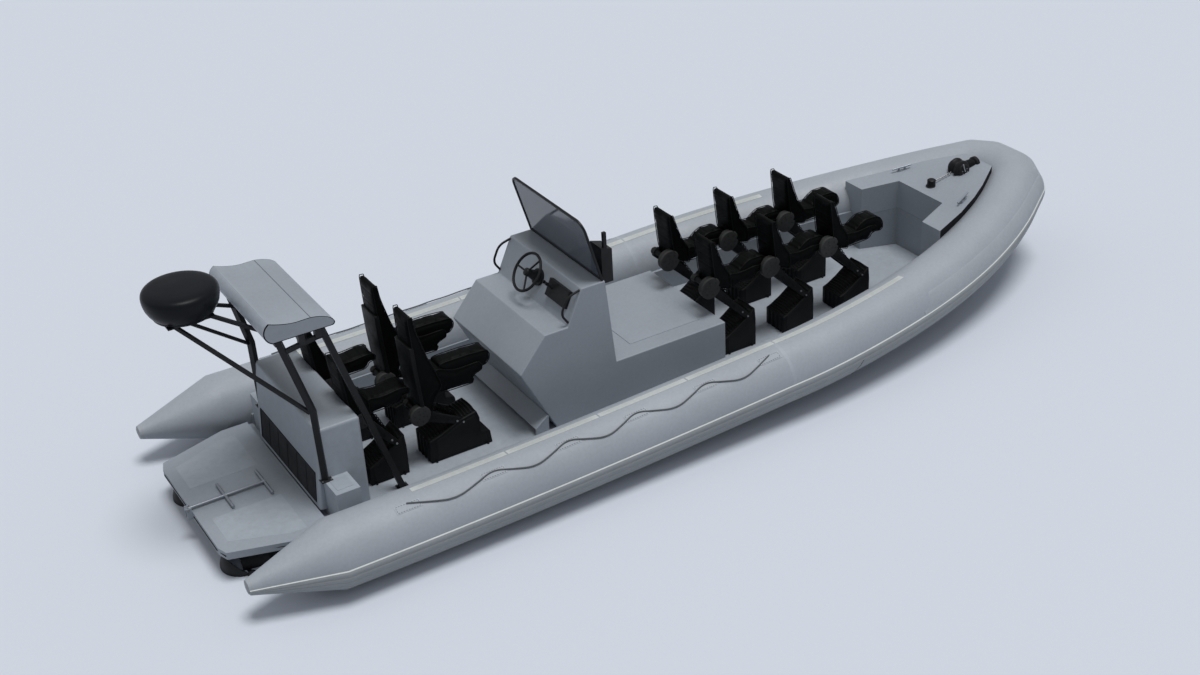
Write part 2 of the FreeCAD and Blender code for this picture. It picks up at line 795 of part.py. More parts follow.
def housing_ears(side):
    """Ear above and below the nozzle for its pin, each on a foot from the throat."""
    ears = []
    foot_aft_x = ear_forward_x - size.nozzle_pin_radius - ear_thickness
    for up in (1, -1):
        outer = sorted((up * size.jet_ear_z, up * (size.jet_ear_z + ear_thickness)))
        foot = sorted((up * size.jet_throat_radius, up * size.jet_ear_z))
        ears.append(box_between(Vector(size.jet_steer_x - ear_half, -ear_half, outer[0]),
                                Vector(ear_forward_x, ear_half, outer[1])))
        ears.append(box_between(Vector(foot_aft_x, -ear_half, foot[0]), Vector(ear_forward_x, ear_half, foot[1])))
    for ear in ears:
        ear.translate(jet_axis(side))
    return ears


def jet_housing(side):
    body = revolved([(size.transom_x, size.jet_bore_radius),
                     (size.transom_x, size.jet_flange_radius),
                     (size.transom_x - size.jet_flange_thickness, size.jet_flange_radius),
                     (size.transom_x - size.jet_flange_thickness, size.jet_housing_radius),
                     (throat_x, size.jet_throat_radius),
                     (housing_end_x, size.jet_throat_radius),
                     (housing_end_x, size.jet_bore_radius)], jet_axis(side))
    shape = joined([body] + housing_ears(side))
    pivot = jet_axis(side) + Vector(size.jet_steer_x, 0, 0)
    reach = Vector(0, 0, size.jet_ear_z + 2 * ear_thickness)
    pin_hole = rod(pivot - reach, pivot + reach, size.nozzle_pin_radius + size.nozzle_pin_clearance)
    half_span = Vector(3 * OVERRUN, 0, 0)
    pin_hole = pin_hole.cut(rod(pivot - half_span, pivot + half_span, size.jet_throat_radius + ear_thickness))
    bore = rod(Vector(size.transom_x, pivot.y, pivot.z), Vector(housing_end_x - OVERRUN, pivot.y, pivot.z),
               size.jet_bore_radius)
    return shape.cut(pin_hole).cut(bore)


def steering_nozzle(side):
    entry_x = size.jet_steer_x + size.nozzle_lead
    exit_x = entry_x - size.nozzle_length
    shapes = [revolved([(entry_x, size.nozzle_entry_radius - size.nozzle_wall),
                        (entry_x, size.nozzle_entry_radius),
                        (exit_x, size.nozzle_exit_radius),
                        (exit_x, size.nozzle_exit_radius - size.nozzle_wall)], jet_axis(side))]
    pivot = jet_axis(side) + Vector(size.jet_steer_x, 0, 0)
    wall_z = size.nozzle_entry_radius - WALL_DEPTH_SHARE * size.nozzle_wall
    for up in (1, -1):
        start = pivot + Vector(0, 0, up * wall_z)
        boss_end = pivot + Vector(0, 0, up * (size.jet_ear_z - size.deck_clearance))
        pin_end = pivot + Vector(0, 0, up * (size.jet_ear_z + ear_thickness))
        shapes.append(rod(start, boss_end, BOSS_SHARE * size.nozzle_pin_radius))
        shapes.append(rod(start, pin_end, size.nozzle_pin_radius))
    swing = jet_axis(side) + Vector(size.bucket_pivot_x, 0, 0)
    inner_face = size.bucket_radius - size.bucket_wall - 2 * size.deck_clearance
    for out in (1, -1):
        arm_start = swing + Vector(0, out * (size.nozzle_exit_radius - size.nozzle_wall / 2), 0)
        pin_end = swing + Vector(0, out * (size.bucket_radius + size.bucket_wall / 2), 0)
        shapes.append(rod(arm_start, swing + Vector(0, out * inner_face, 0), BUCKET_BOSS_SHARE * size.nozzle_pin_radius))
        shapes.append(rod(arm_start, pin_end, size.nozzle_pin_radius))
    return joined(shapes)


def reverse_bucket(side):
    """A clamshell that is a gore of a sphere, hung on bosses at its poles."""
    centre = jet_axis(side) + Vector(size.bucket_pivot_x, 0, 0)
    outer = Part.makeSphere(size.bucket_radius, centre)
    inner = Part.makeSphere(size.bucket_radius - size.bucket_wall, centre)
    shell = outer.cut(inner)
    reach = 2 * size.bucket_radius
    upper = math.radians(size.bucket_upper_angle)
    lower = math.radians(size.bucket_lower_angle)
    wedge_points = [centre,
                    centre + Vector(-math.cos(upper), 0, math.sin(upper)) * reach,
                    centre + Vector(-math.cos(lower), 0, -math.sin(lower)) * reach]
    wedge = Part.Face(Part.makePolygon(wedge_points + wedge_points[:1]))
    wedge.translate(Vector(0, -reach, 0))
    shapes = [shell.common(wedge.extrude(Vector(0, 2 * reach, 0)))]
    for out in (1, -1):
        start = centre + Vector(0, out * (size.bucket_radius - size.bucket_wall), 0)
        end = centre + Vector(0, out * (size.bucket_radius + size.bucket_wall / 3), 0)
        shapes.append(rod(start, end, BUCKET_HUB_SHARE * size.nozzle_pin_radius))
    axis_reach = Vector(0, size.bucket_radius + size.bucket_wall, 0)
    hole = rod(centre - axis_reach, centre + axis_reach, size.nozzle_pin_radius + size.nozzle_pin_clearance)
    return joined(shapes).cut(hole)


for side_name, side in (("port", 1), ("starboard", -1)):
    keep("jet_housing_" + side_name, jet_housing(side))
    keep("steering_nozzle_" + side_name, steering_nozzle(side))
    keep("reverse_bucket_" + side_name, reverse_bucket(side))

# Arch: box-section legs each side, ties and cross beams under the wing
TIE_WIDTH_SHARE = 0.7
TIE_AFT_DROP_SHARE = 2.1
TIE_FORWARD_DROP_SHARE = 1.15
MOUNT_TIE_SHARES = [0.45, 0.85]


def arch_legs():
    """Centre lines of the port legs, aft and forward."""
    aft = [Vector(size.arch_aft_foot_x, size.arch_aft_foot_y, size.quarter_locker_top_z),
           Vector(size.arch_bend_x, size.arch_bend_y, size.arch_bend_z),
           Vector(size.arch_aft_top_x, size.arch_top_y, size.arch_top_z)]
    forward = [Vector(size.arch_forward_foot_x, size.arch_forward_foot_y, size.deck_z),
               Vector(size.arch_forward_top_x, size.arch_top_y, size.arch_top_z)]
    return aft, forward


def on_leg(points, z):
    low, high = points[-2], points[-1]
    return low + (high - low) * ((z - low.z) / (high.z - low.z))


def arch_shape():
    aft_points, forward_points = arch_legs()
    width = size.arch_tube_width
    profile = square_profile(width)
    normal = unit((aft_points[1] - aft_points[0]).cross(aft_points[2] - aft_points[1]))
    low_point = forward_points[0] + (forward_points[0] - forward_points[1]) * (width / hull_length)
    tie_start = on_leg(aft_points, size.arch_top_z - TIE_AFT_DROP_SHARE * width)
    tie_end = on_leg(forward_points, size.arch_top_z - TIE_FORWARD_DROP_SHARE * width)
    legs = [mitred_bar(aft_points, profile, normal),
            mitred_bar([low_point, forward_points[1]], profile, Vector(0, 1, 0)),
            mitred_bar([tie_start, tie_end], square_profile(width * TIE_WIDTH_SHARE), UP)]
    for share in MOUNT_TIE_SHARES:
        foot = tie_start + (tie_end - tie_start) * share
        half = width / 2
        legs.append(box_between(foot - Vector(half, half, 0), Vector(foot.x + half, foot.y + half, size.arch_top_z)))
    shapes = []
    for leg in legs:
        shapes += [leg, mirrored(leg)]
    for top in (aft_points[-1], forward_points[-1]):
        centre = Vector(top.x, top.y, top.z - width / 2)
        opposite = Vector(top.x, -top.y, top.z - width / 2)
        shapes.append(mitred_bar([centre, opposite], profile, UP))
    room = box_between(Vector(size.collar_tip_x, -size.collar_spread, size.deck_z),
                       Vector(0, size.collar_spread, size.arch_top_z))
    below_locker = box_between(Vector(size.collar_tip_x, -size.collar_spread, 0),
                               Vector(size.quarter_locker_forward_x, size.collar_spread, size.quarter_locker_top_z))
    return joined(shapes).common(room).cut(below_locker).cut(box_solid)


keep("arch_frame", arch_shape())

# Wing over the arch: flat below, round aft nose, dished top and thin forward edge
WING_BELLY_SHARE = 0.10
WING_NOSE_SHARE = 0.50
WING_CROWN_SHARES = [(0.085, 1.0), (0.279, 0.79), (0.467, 0.694), (0.672, 0.694), (0.851, 0.56), (0.967, 0.34),
                     (1.0, 0.18)]
WING_LIP_SHARES = [(0.992, 0.06), (0.955, 0.0)]


def wing_shape():
    chord = size.wing_forward_x - size.wing_aft_x

    def at(along, up):
        return Vector(size.wing_aft_x + along * chord, 0, size.arch_top_z + up * size.wing_depth)

    belly = at(WING_BELLY_SHARE, 0.0)
    crown = [at(*shares) for shares in WING_CROWN_SHARES]
    lip = [at(*shares) for shares in WING_LIP_SHARES]
    top_curve = Part.BSplineCurve()
    top_curve.interpolate(Points=crown)
    wire = Part.Wire([
        Part.Arc(belly, at(0.0, WING_NOSE_SHARE), crown[0]).toShape(),
        top_curve.toShape(),
        Part.Arc(crown[-1], lip[0], lip[1]).toShape(),
        Part.LineSegment(lip[1], belly).toShape()])
    face = Part.Face(wire)
    face.translate(Vector(0, -size.wing_half_width, 0))
    return face.extrude(Vector(0, 2 * size.wing_half_width, 0))


keep("arch_wing", wing_shape())

# Radome: flat base, curved shoulder and a gently domed top
RADOME_FOOT_SHARE = 0.94
RADOME_RIM_SHARE = 0.38
RADOME_SHOULDER_SHARES = (0.93, 0.78)
RADOME_LOW_BULGE_SHARES = (0.985, 0.14)
RADOME_SIDE_BULGE_SHARES = (0.985, 0.60)


def radome_body():
    body = doc.addObject("PartDesign::Body", "radome")
    body.Label = "radome"
    sketch = sketch_on(body, "radome_outline", "XZ_Plane")
    radius = size.radome_radius
    height = size.radome_height
    foot = Vector(RADOME_FOOT_SHARE * radius, 0, 0)
    low_bulge = Vector(RADOME_LOW_BULGE_SHARES[0] * radius, RADOME_LOW_BULGE_SHARES[1] * height, 0)
    rim = Vector(radius, RADOME_RIM_SHARE * height, 0)
    side_bulge = Vector(RADOME_SIDE_BULGE_SHARES[0] * radius, RADOME_SIDE_BULGE_SHARES[1] * height, 0)
    shoulder = Vector(RADOME_SHOULDER_SHARES[0] * radius, RADOME_SHOULDER_SHARES[1] * height, 0)
    top = Vector(0, height, 0)
    drop = height - shoulder.y
    crown_radius = (shoulder.x ** 2 + drop ** 2) / (2 * drop)
    half_angle = math.asin(shoulder.x / crown_radius) / 2
    crown = Vector(crown_radius * math.sin(half_angle), height - crown_radius * (1 - math.cos(half_angle)), 0)
    sketch.addGeometry(Part.LineSegment(Vector(0, 0, 0), foot))
    sketch.addGeometry(Part.Arc(foot, low_bulge, rim))
    sketch.addGeometry(Part.Arc(rim, side_bulge, shoulder))
    sketch.addGeometry(Part.Arc(shoulder, crown, top))
    sketch.addGeometry(Part.LineSegment(top, Vector(0, 0, 0)))
    turn = body.newObject("PartDesign::Revolution", "radome_turn")
    turn.Profile = sketch
    turn.ReferenceAxis = (sketch, ["V_Axis"])
    turn.Angle = 360
    body.setExpression("Placement.Base.x", "Sizes.radome_x")
    body.setExpression("Placement.Base.z", "Sizes.radome_base_z")
    doc.recompute()
    parts["radome"] = body


radome_body()


def mirrored_point(point):
    return Vector(point.x, -point.y, point.z)


def radome_bracket():
    """Plate under the radome, two arms from the aft cross beam and two struts from the legs."""
    aft_points = arch_legs()[0]
    width = size.arch_tube_width
    plate_half = size.radome_plate_half
    plate_z = size.radome_base_z - size.radome_plate_thickness
    shapes = [box_between(Vector(size.radome_x - plate_half, -plate_half, plate_z),
                          Vector(size.radome_x + plate_half, plate_half, size.radome_base_z))]
    bar = square_profile(size.radome_strut_width)
    half = size.radome_strut_width / 2
    bar_z = plate_z - half
    leg = on_leg(aft_points, size.arch_bend_z)
    for side in (1, -1):
        head = Vector(size.radome_strut_head_x, side * size.radome_strut_head_y, bar_z)
        arm_head = Vector(size.radome_arm_head_x, head.y, bar_z)
        arm_foot = Vector(size.arch_aft_top_x - width / 2, side * size.radome_arm_foot_y, size.arch_top_z - width)
        leg_point = Vector(leg.x - width / 2, side * leg.y, leg.z)
        shapes.append(mitred_bar([head - Vector(half, 0, 0), arm_head + Vector(half, 0, 0)], bar, UP))
        shapes.append(mitred_bar([arm_head, arm_foot], bar, UP))
        shapes.append(mitred_bar([head, leg_point], bar, UP))
    starboard_head = Vector(size.radome_strut_head_x, -size.radome_strut_head_y, bar_z)
    shapes.append(mitred_bar([starboard_head, mirrored_point(starboard_head)], bar, UP))
    return joined(shapes).cut(parts["arch_frame"].Shape)


keep("radome_bracket", radome_bracket())
# Console with its forward trunk, one moulding
console_points = [
    (size.console_foot_x, size.deck_z),
    (size.trunk_forward_x, size.deck_z),
    (size.trunk_forward_x, size.trunk_top_z),
    (size.console_front_x, size.trunk_top_z),
    (size.console_top_x, size.console_top_z),
    (size.console_crest_x, size.console_top_z),
    (size.console_dash_x, size.console_shelf_z),
    (size.console_shelf_x, size.console_shelf_z),
    (size.console_knee_x, size.console_knee_z)]
console_body = padded_outline("console", "XZ_Plane", console_points, "2 * Sizes.console_half_width")


def foot_rest_shape():
    """Sloping plate across the foot of the console, on two end brackets."""
    top = Vector(size.foot_rest_top_x, 0, size.foot_rest_top_z)
    bottom = Vector(size.foot_rest_bottom_x, 0, size.foot_rest_bottom_z)
    along = unit(top - bottom)
    normal = Vector(-along.z, 0, along.x)
    thick = normal * size.foot_rest_thickness
    points = [bottom, top, top - thick, bottom - thick]
    plate = Part.Face(Part.makePolygon(points + points[:1]))
    half = size.console_half_width
    plate.translate(Vector(0, -half, 0))
    shapes = [plate.extrude(Vector(0, 2 * half, 0))]
    for side in (1, -1):
        bracket_points = [bottom - thick / 2, top - thick / 2,
                          Vector(top.x, 0, size.deck_z), Vector(bottom.x, 0, size.deck_z)]
        bracket = Part.Face(Part.makePolygon(bracket_points + bracket_points[:1]))
        start = half - size.foot_rest_thickness if side > 0 else -half
        bracket.translate(Vector(0, start, 0))
        shapes.append(bracket.extrude(Vector(0, size.foot_rest_thickness, 0)))
    return joined(shapes).cut(console_body.Shape)


keep("foot_rest", foot_rest_shape())


# Windscreen, drawn flat and then raked back about its foot
def screen_outline(inset):
    half = size.screen_half_width - inset
    height = size.screen_height - inset
    corner = size.screen_corner_radius - inset
    foot = inset
    low_port = Vector(0, half, foot)
    low_starboard = Vector(0, -half, foot)
    bend = corner * (1 - math.sqrt(0.5))
    return Part.Wire([
        Part.LineSegment(low_starboard, low_port).toShape(),
        Part.LineSegment(low_port, Vector(0, half, height - corner)).toShape(),
        Part.Arc(Vector(0, half, height - corner), Vector(0, half - bend, height - bend),
                 Vector(0, half - corner, height)).toShape(),
        Part.LineSegment(Vector(0, half - corner, height), Vector(0, corner - half, height)).toShape(),
        Part.Arc(Vector(0, corner - half, height), Vector(0, bend - half, height - bend),
                 Vector(0, -half, height - corner)).toShape(),
        Part.LineSegment(Vector(0, -half, height - corner), low_starboard).toShape()])


def screen_slab(inset, thickness):
    face = Part.Face(screen_outline(inset))
    face.translate(Vector(-thickness / 2, 0, 0))
    return face.extrude(Vector(thickness, 0, 0))


def raked(shape):
    shape.rotate(Vector(0, 0, 0), Vector(0, 1, 0), -size.screen_rake)
    lean = math.radians(size.screen_rake)
    lift = size.screen_frame_width / 2 * math.sin(lean)
    shape.translate(Vector(size.console_top_x - size.screen_frame_width, 0, size.console_top_z + lift))
    return shape


frame_width = size.screen_frame_width
screen_frame = screen_slab(0, frame_width).cut(screen_slab(frame_width, 2 * frame_width))
keep("windscreen_frame", raked(screen_frame))
keep("windscreen_pane", raked(screen_slab(frame_width + size.screen_pane_clearance, size.screen_pane_thickness)))

# Instrument housing at the starboard end of the windscreen, hooked over the console's forward edge
SIDE_UNIT_LEAN_SHARE = 0.3
SIDE_UNIT_KNOB_SHARES = (0.35, 0.55)
SIDE_UNIT_KNOB_RISE_SHARE = 0.45


def side_unit_shape():
    aft_x = size.console_top_x - size.screen_pane_thickness
    depth = size.side_unit_forward_x - aft_x
    height = size.side_unit_top_z - size.console_top_z
    profile = [Vector(aft_x, 0, size.side_unit_bottom_z),
               Vector(size.side_unit_forward_x, 0, size.side_unit_bottom_z),
               Vector(size.side_unit_forward_x, 0, size.side_unit_top_z - SIDE_UNIT_LEAN_SHARE * depth),
               Vector(aft_x, 0, size.side_unit_top_z)]
    face = Part.Face(Part.makePolygon(profile + profile[:1]))
    face.translate(Vector(0, -size.side_unit_outer_y, 0))
    slab = face.extrude(Vector(0, size.side_unit_outer_y - size.side_unit_inner_y, 0))
    knob_x = [aft_x + share * depth for share in SIDE_UNIT_KNOB_SHARES]
    knob_half = size.grab_rail_radius
    knob = box_between(
        Vector(knob_x[0] - knob_half, -size.side_unit_outer_y, size.side_unit_top_z - 2 * depth * SIDE_UNIT_LEAN_SHARE),
        Vector(knob_x[1], -size.side_unit_outer_y + 3 * knob_half,
               size.side_unit_top_z + SIDE_UNIT_KNOB_RISE_SHARE * height))
    return joined([slab, knob]).cut(console_body.Shape)


keep("side_unit", side_unit_shape())

# Helm: wheel on a helm unit, and the switch panel with throttle levers beside it
dash_rise = size.console_top_z - size.console_shelf_z
dash_run = size.console_crest_x - size.console_dash_x
dash_along = unit(Vector(dash_run, 0, dash_rise))
dash_normal = Vector(-dash_along.z, 0, dash_along.x)
HELM_BASE_SHARE = 0.25
HELM_BASE_RADIUS_SHARE = 2.1
HELM_NECK_RADIUS_SHARE = 1.6
HELM_NECK_START_SHARE = 0.5
SPOKE_SHARE = 0.7
WHEEL_SPOKES = 3


def dash_point(z, y):
    share = (z - size.console_shelf_z) / dash_rise
    return Vector(size.console_dash_x + share * dash_run, y, z)


wheel_lean = math.radians(size.wheel_tilt)
wheel_axis = Vector(-math.cos(wheel_lean), 0, math.sin(wheel_lean))
wheel_up = Vector(math.sin(wheel_lean), 0, math.cos(wheel_lean))
wheel_foot = dash_point(size.wheel_z, 0)
wheel_centre = wheel_foot + wheel_axis * size.wheel_standoff
shaft_end = wheel_centre + wheel_axis * size.wheel_rim_radius


def helm_unit_shape():
    reach = size.wheel_standoff - size.wheel_hub_radius
    base_depth = reach * HELM_BASE_SHARE
    base = rod(wheel_foot, wheel_foot + dash_normal * base_depth, HELM_BASE_RADIUS_SHARE * size.wheel_hub_radius)
    neck_start = HELM_NECK_START_SHARE * base_depth
    neck = Part.makeCone(HELM_NECK_RADIUS_SHARE * size.wheel_hub_radius, size.wheel_hub_radius, reach - neck_start,
                         wheel_foot + wheel_axis * neck_start, wheel_axis)
    shaft = rod(wheel_foot + wheel_axis * neck_start, shaft_end, size.wheel_bore_radius)
    return joined([base, neck, shaft]).cut(console_body.Shape)


def wheel_shape():
    hub_start = wheel_centre - wheel_axis * (size.wheel_hub_radius - size.deck_clearance)
    shapes = [Part.makeTorus(size.wheel_radius, size.wheel_rim_radius, wheel_centre, wheel_axis),
              rod(hub_start, shaft_end, size.wheel_hub_radius)]
    for step in range(WHEEL_SPOKES):
        angle = 2 * math.pi * step / WHEEL_SPOKES
        out = Vector(0, 1, 0) * math.cos(angle) + wheel_up * math.sin(angle)
        shapes.append(rod(wheel_centre, wheel_centre + out * size.wheel_radius, size.wheel_rim_radius * SPOKE_SHARE))
    overrun = wheel_axis * OVERRUN
    bore = rod(hub_start - overrun, shaft_end + overrun, size.wheel_bore_radius + size.wheel_bore_clearance)
    return joined(shapes).cut(bore)


keep("helm_unit", helm_unit_shape())
keep("steering_wheel", wheel_shape())

LEVER_OFFSET_SHARES = [0.07, 0.22]
LEVER_FOOT_SHARE = 0.45
LEVER_REACH_SHARE = 2.2
LEVER_RISE_SHARE = 1.2
LEVER_RADIUS_SHARE = 0.2


def throttle_shape():
    """Wide switch panel on the dash, with two levers at its inner end."""
    foot = dash_point(size.throttle_low_z, -size.throttle_inner_y)
    across = Vector(0, -size.throttle_length, 0)
    up = dash_along * size.throttle_width
    face = Part.Face(Part.makePolygon([foot, foot + up, foot + up + across, foot + across, foot]))
    shapes = [face.extrude(dash_normal * size.throttle_height)]
    for share in LEVER_OFFSET_SHARES:
        start = foot + across * share + up * LEVER_FOOT_SHARE + dash_normal * (size.throttle_height / 2)
        tip = start + dash_normal * (LEVER_REACH_SHARE * size.throttle_height)
        tip += dash_along * (LEVER_RISE_SHARE * size.throttle_height)
        knob_half = Vector(0, size.throttle_height / 4, 0)
        shapes.append(rod(start, tip, LEVER_RADIUS_SHARE * size.throttle_height))
        shapes.append(rod(tip - knob_half, tip + knob_half, 2 * LEVER_RADIUS_SHARE * size.throttle_height))
    return joined(shapes)


keep("throttle_control", throttle_shape())


def grab_rail(side):
    """Bent rail from the dash crest round to the console shelf."""
    y = side * (size.console_half_width - 2 * size.grab_rail_radius)
    out = Vector(-size.grab_rail_standoff, 0, 0)
    points = [dash_point(size.console_top_z - 2 * size.grab_rail_radius, y),
              dash_point(size.grab_rail_high_z, y) + out,
              dash_point(size.grab_rail_low_z, y) + out,
              dash_point(size.console_shelf_z + 3 * size.grab_rail_radius, y)]
    return tube_along(points, size.grab_rail_radius).cut(console_body.Shape)


for side_name, side in (("port", 1), ("starboard", -1)):
    keep("grab_rail_" + side_name, grab_rail(side))

# Jockey seats, drawn from the side in shares of seat length and height above the deck
PEDESTAL_SHARES = [(0.12, 0.0), (0.685, 0.0), (0.685, 0.22), (0.667, 0.32), (0.53, 0.262), (0.36, 0.20),
                   (0.20, 0.155), (0.12, 0.14)]
BACK_SHARES = [(0.0, 0.60), (0.25, 0.543), (0.25, 0.672), (0.142, 0.825), (0.092, 0.896), (0.048, 1.0), (0.006, 1.0)]
SADDLE_SHARES = [(0.10, 0.575), (0.255, 0.543), (0.67, 0.549), (0.732, 0.569), (0.75, 0.59), (0.85, 0.60),
                 (0.865, 0.635), (0.82, 0.662), (0.70, 0.668), (0.45, 0.655), (0.25, 0.672)]
POMMEL_SHARES = [(0.42, 0.62), (0.94, 0.575), (1.0, 0.60), (1.0, 0.645), (0.94, 0.70), (0.84, 0.735), (0.70, 0.735),
                 (0.45, 0.66)]
SHOULDER_SHARE = 0.82
TOP_WIDTH_SHARE = 0.80
SADDLE_WIDTH_SHARE = 0.76
POMMEL_WIDTH_SHARE = 0.52

# The helm pair is longer and sits lower on a wide plinth
HELM_PEDESTAL_SHARES = [(0.04, 0.0), (0.88, 0.0), (0.86, 0.085), (0.735, 0.10), (0.735, 0.20), (0.70, 0.25),
                        (0.45, 0.225), (0.20, 0.17), (0.04, 0.15)]
HELM_BACK_SHARES = [(0.0, 0.31), (0.09, 0.30), (0.20, 0.43), (0.30, 0.50), (0.23, 0.61), (0.172, 0.71), (0.069, 0.906),
                    (0.042, 1.0), (0.0, 1.0)]
HELM_SADDLE_SHARES = [(0.10, 0.44), (0.38, 0.427), (0.72, 0.424), (0.745, 0.455), (0.72, 0.471), (0.86, 0.495),
                      (0.875, 0.53), (0.83, 0.562), (0.50, 0.56), (0.23, 0.61)]
HELM_POMMEL_SHARES = [(0.30, 0.52), (0.92, 0.505), (0.99, 0.54), (1.0, 0.575), (0.96, 0.612), (0.70, 0.622),
                      (0.30, 0.622)]


def side_plate(points, half_width, y):
    face = Part.Face(Part.makePolygon(points + points[:1]))
    face.translate(Vector(0, y - half_width, 0))
    return face.extrude(Vector(0, 2 * half_width, 0))


def tapered(shape, x, y, length, height):
    """Narrows a seat's back towards its top, seen from ahead."""
    half = size.seat_half_width
    shoulder_z = size.deck_z + SHOULDER_SHARE * height
    top_z = size.deck_z + height
    top_half = TOP_WIDTH_SHARE * half
    outline = [Vector(x, y - half, size.deck_z), Vector(x, y + half, size.deck_z), Vector(x, y + half, shoulder_z),
               Vector(x, y + top_half, top_z), Vector(x, y - top_half, top_z), Vector(x, y - half, shoulder_z)]
    front = Part.Face(Part.makePolygon(outline + outline[:1])).extrude(Vector(length, 0, 0))
    return shape.common(front)


def jockey_seat(x, y, length, height, forms, arm_shares, cover_share):
    """Pedestal, two arms with round pivot covers, saddle, pommel and back."""
    pedestal_shares, back_shares, saddle_shares, pommel_shares = forms

    def at(shares):
        return [Vector(x + along * length, 0, size.deck_z + up * height) for along, up in shares]

    shapes = [side_plate(at(pedestal_shares), size.seat_base_half_width, y),
              side_plate(at(saddle_shares), SADDLE_WIDTH_SHARE * size.seat_half_width, y),
              tapered(side_plate(at(back_shares), size.seat_half_width, y), x, y, length, height)]
    if pommel_shares:
        shapes.append(side_plate(at(pommel_shares), POMMEL_WIDTH_SHARE * size.seat_half_width, y))
    pivot, foot = at(arm_shares)
    half = size.seat_arm_width / 2
    for side in (1, -1):
        offset = Vector(0, y + side * (size.seat_base_half_width - half), 0)
        shapes.append(mitred_bar([pivot + offset, foot + offset], square_profile(size.seat_arm_width), Vector(0, 1, 0)))
        shapes.append(rod(pivot + offset, pivot + offset + Vector(0, side * half, 0), cover_share * size.seat_length))
    return joined(shapes)


row_forms = (PEDESTAL_SHARES, BACK_SHARES, SADDLE_SHARES, POMMEL_SHARES)
aft_forms = (PEDESTAL_SHARES, BACK_SHARES, SADDLE_SHARES, None)
helm_forms = (HELM_PEDESTAL_SHARES, HELM_BACK_SHARES, HELM_SADDLE_SHARES, HELM_POMMEL_SHARES)
ROW_ARM_SHARES = [(-0.106, 0.617), (0.58, 0.25)]
AFT_ARM_SHARES = [(0.125, 0.535), (0.58, 0.25)]
HELM_ARM_SHARES = [(-0.03, 0.345), (0.55, 0.20)]
ROW_COVER_SHARE = 0.174
AFT_COVER_SHARE = 0.12
HELM_COVER_SHARE = 0.15

for side_name, side in (("port", 1), ("starboard", -1)):
    seat_y = side * size.seat_offset
    keep("aft_seat_" + side_name, jockey_seat(size.aft_seat_x, seat_y, size.seat_length, size.seat_height,
                                              aft_forms, AFT_ARM_SHARES, AFT_COVER_SHARE))
    keep("helm_seat_" + side_name, jockey_seat(size.helm_seat_x, seat_y, size.helm_seat_length, size.helm_seat_height,
                                               helm_forms, HELM_ARM_SHARES, HELM_COVER_SHARE))
    for row in range(3):
        row_x = size.first_row_x + row * size.row_pitch
        keep("seat_row_%d_%s" % (row + 1, side_name),
             jockey_seat(row_x, seat_y, size.seat_length, size.seat_height,
                         row_forms, ROW_ARM_SHARES, ROW_COVER_SHARE))

# Bow locker: a raised deck that follows the collar's sheer, notched at its aft edge
LOCKER_LENGTH_SHARES = [0.0, 0.157, 0.334, 0.558, 0.740, 0.856, 1.0]
LOCKER_WIDTH_SHARES = [1.0, 0.916, 0.826, 0.685, 0.537, 0.421, 0.275]


def locker_shape():
    half = [(locker_aft_x + along * locker_length, width * size.bow_locker_half_width)
            for along, width in zip(LOCKER_LENGTH_SHARES, LOCKER_WIDTH_SHARES)]
    notch = [(locker_aft_x, -size.bow_notch_half_width),
             (locker_aft_x + notch_depth, -NOTCH_TAPER_SHARE * size.bow_notch_half_width),
             (locker_aft_x + notch_depth, NOTCH_TAPER_SHARE * size.bow_notch_half_width),
             (locker_aft_x, size.bow_notch_half_width)]
    outline = half + [(x, -y) for x, y in reversed(half)] + notch
    block = prism(outline, size.deck_z, cockpit_top + size.collar_radius)
    sheer = []
    bow_x = size.collar_seam_x + size.collar_length
    for x in (locker_aft_x - OVERRUN, locker_aft_x + notch_depth, bow_x - OVERRUN):
        centre = collar_centre(x)
        sheer.append(Vector(x, 0, centre.z + size.collar_radius + size.bow_deck_lift))
    cap_points = sheer + [Vector(sheer[-1].x, 0, 2 * cockpit_top), Vector(sheer[0].x, 0, 2 * cockpit_top)]
    cap = side_plate(cap_points, size.collar_spread, 0)
    block = block.cut(cap).cut(hull_block())
    for tube in collar_envelope:
        block = block.cut(tube)
    solids = sorted(block.Solids, key=lambda solid: solid.Volume)
    return solids[-1], sheer


locker_solid, locker_sheer = locker_shape()
keep("bow_locker", locker_solid)


def deck_height(x):
    for left, right in zip(locker_sheer, locker_sheer[1:]):
        if right.x >= x:
            return left.z + (right.z - left.z) * (x - left.x) / (right.x - left.x)
    return locker_sheer[-1].z


def seated(shape_at_origin, x, y, yaw=0.0):
    """Stands a fitting on the bow deck, tilted to the sheer."""
    step = size.cleat_length / 4
    slope = math.atan2(deck_height(x + step) - deck_height(x - step), 2 * step)
    shape = shape_at_origin.copy()
    shape.rotate(Vector(0, 0, 0), Vector(0, 0, 1), yaw)
    shape.rotate(Vector(0, 0, 0), Vector(0, 1, 0), -math.degrees(slope))
    shape.translate(Vector(x, y, deck_height(x)))
    return shape


# Cleats: a horn bar on two legs and a base
CLEAT_HEIGHT_SHARE = 0.18
CLEAT_HORN_SHARE = 0.045
CLEAT_LEG_SHARE = 0.055
CLEAT_LEG_OFFSET_SHARE = 0.16
CLEAT_BASE_SHARES = (0.26, 0.08, 0.03)
CLEAT_YAW = -20.0
CLEAT_LENGTH_SHARE = 0.46
CLEAT_SPREAD_SHARE = 0.635


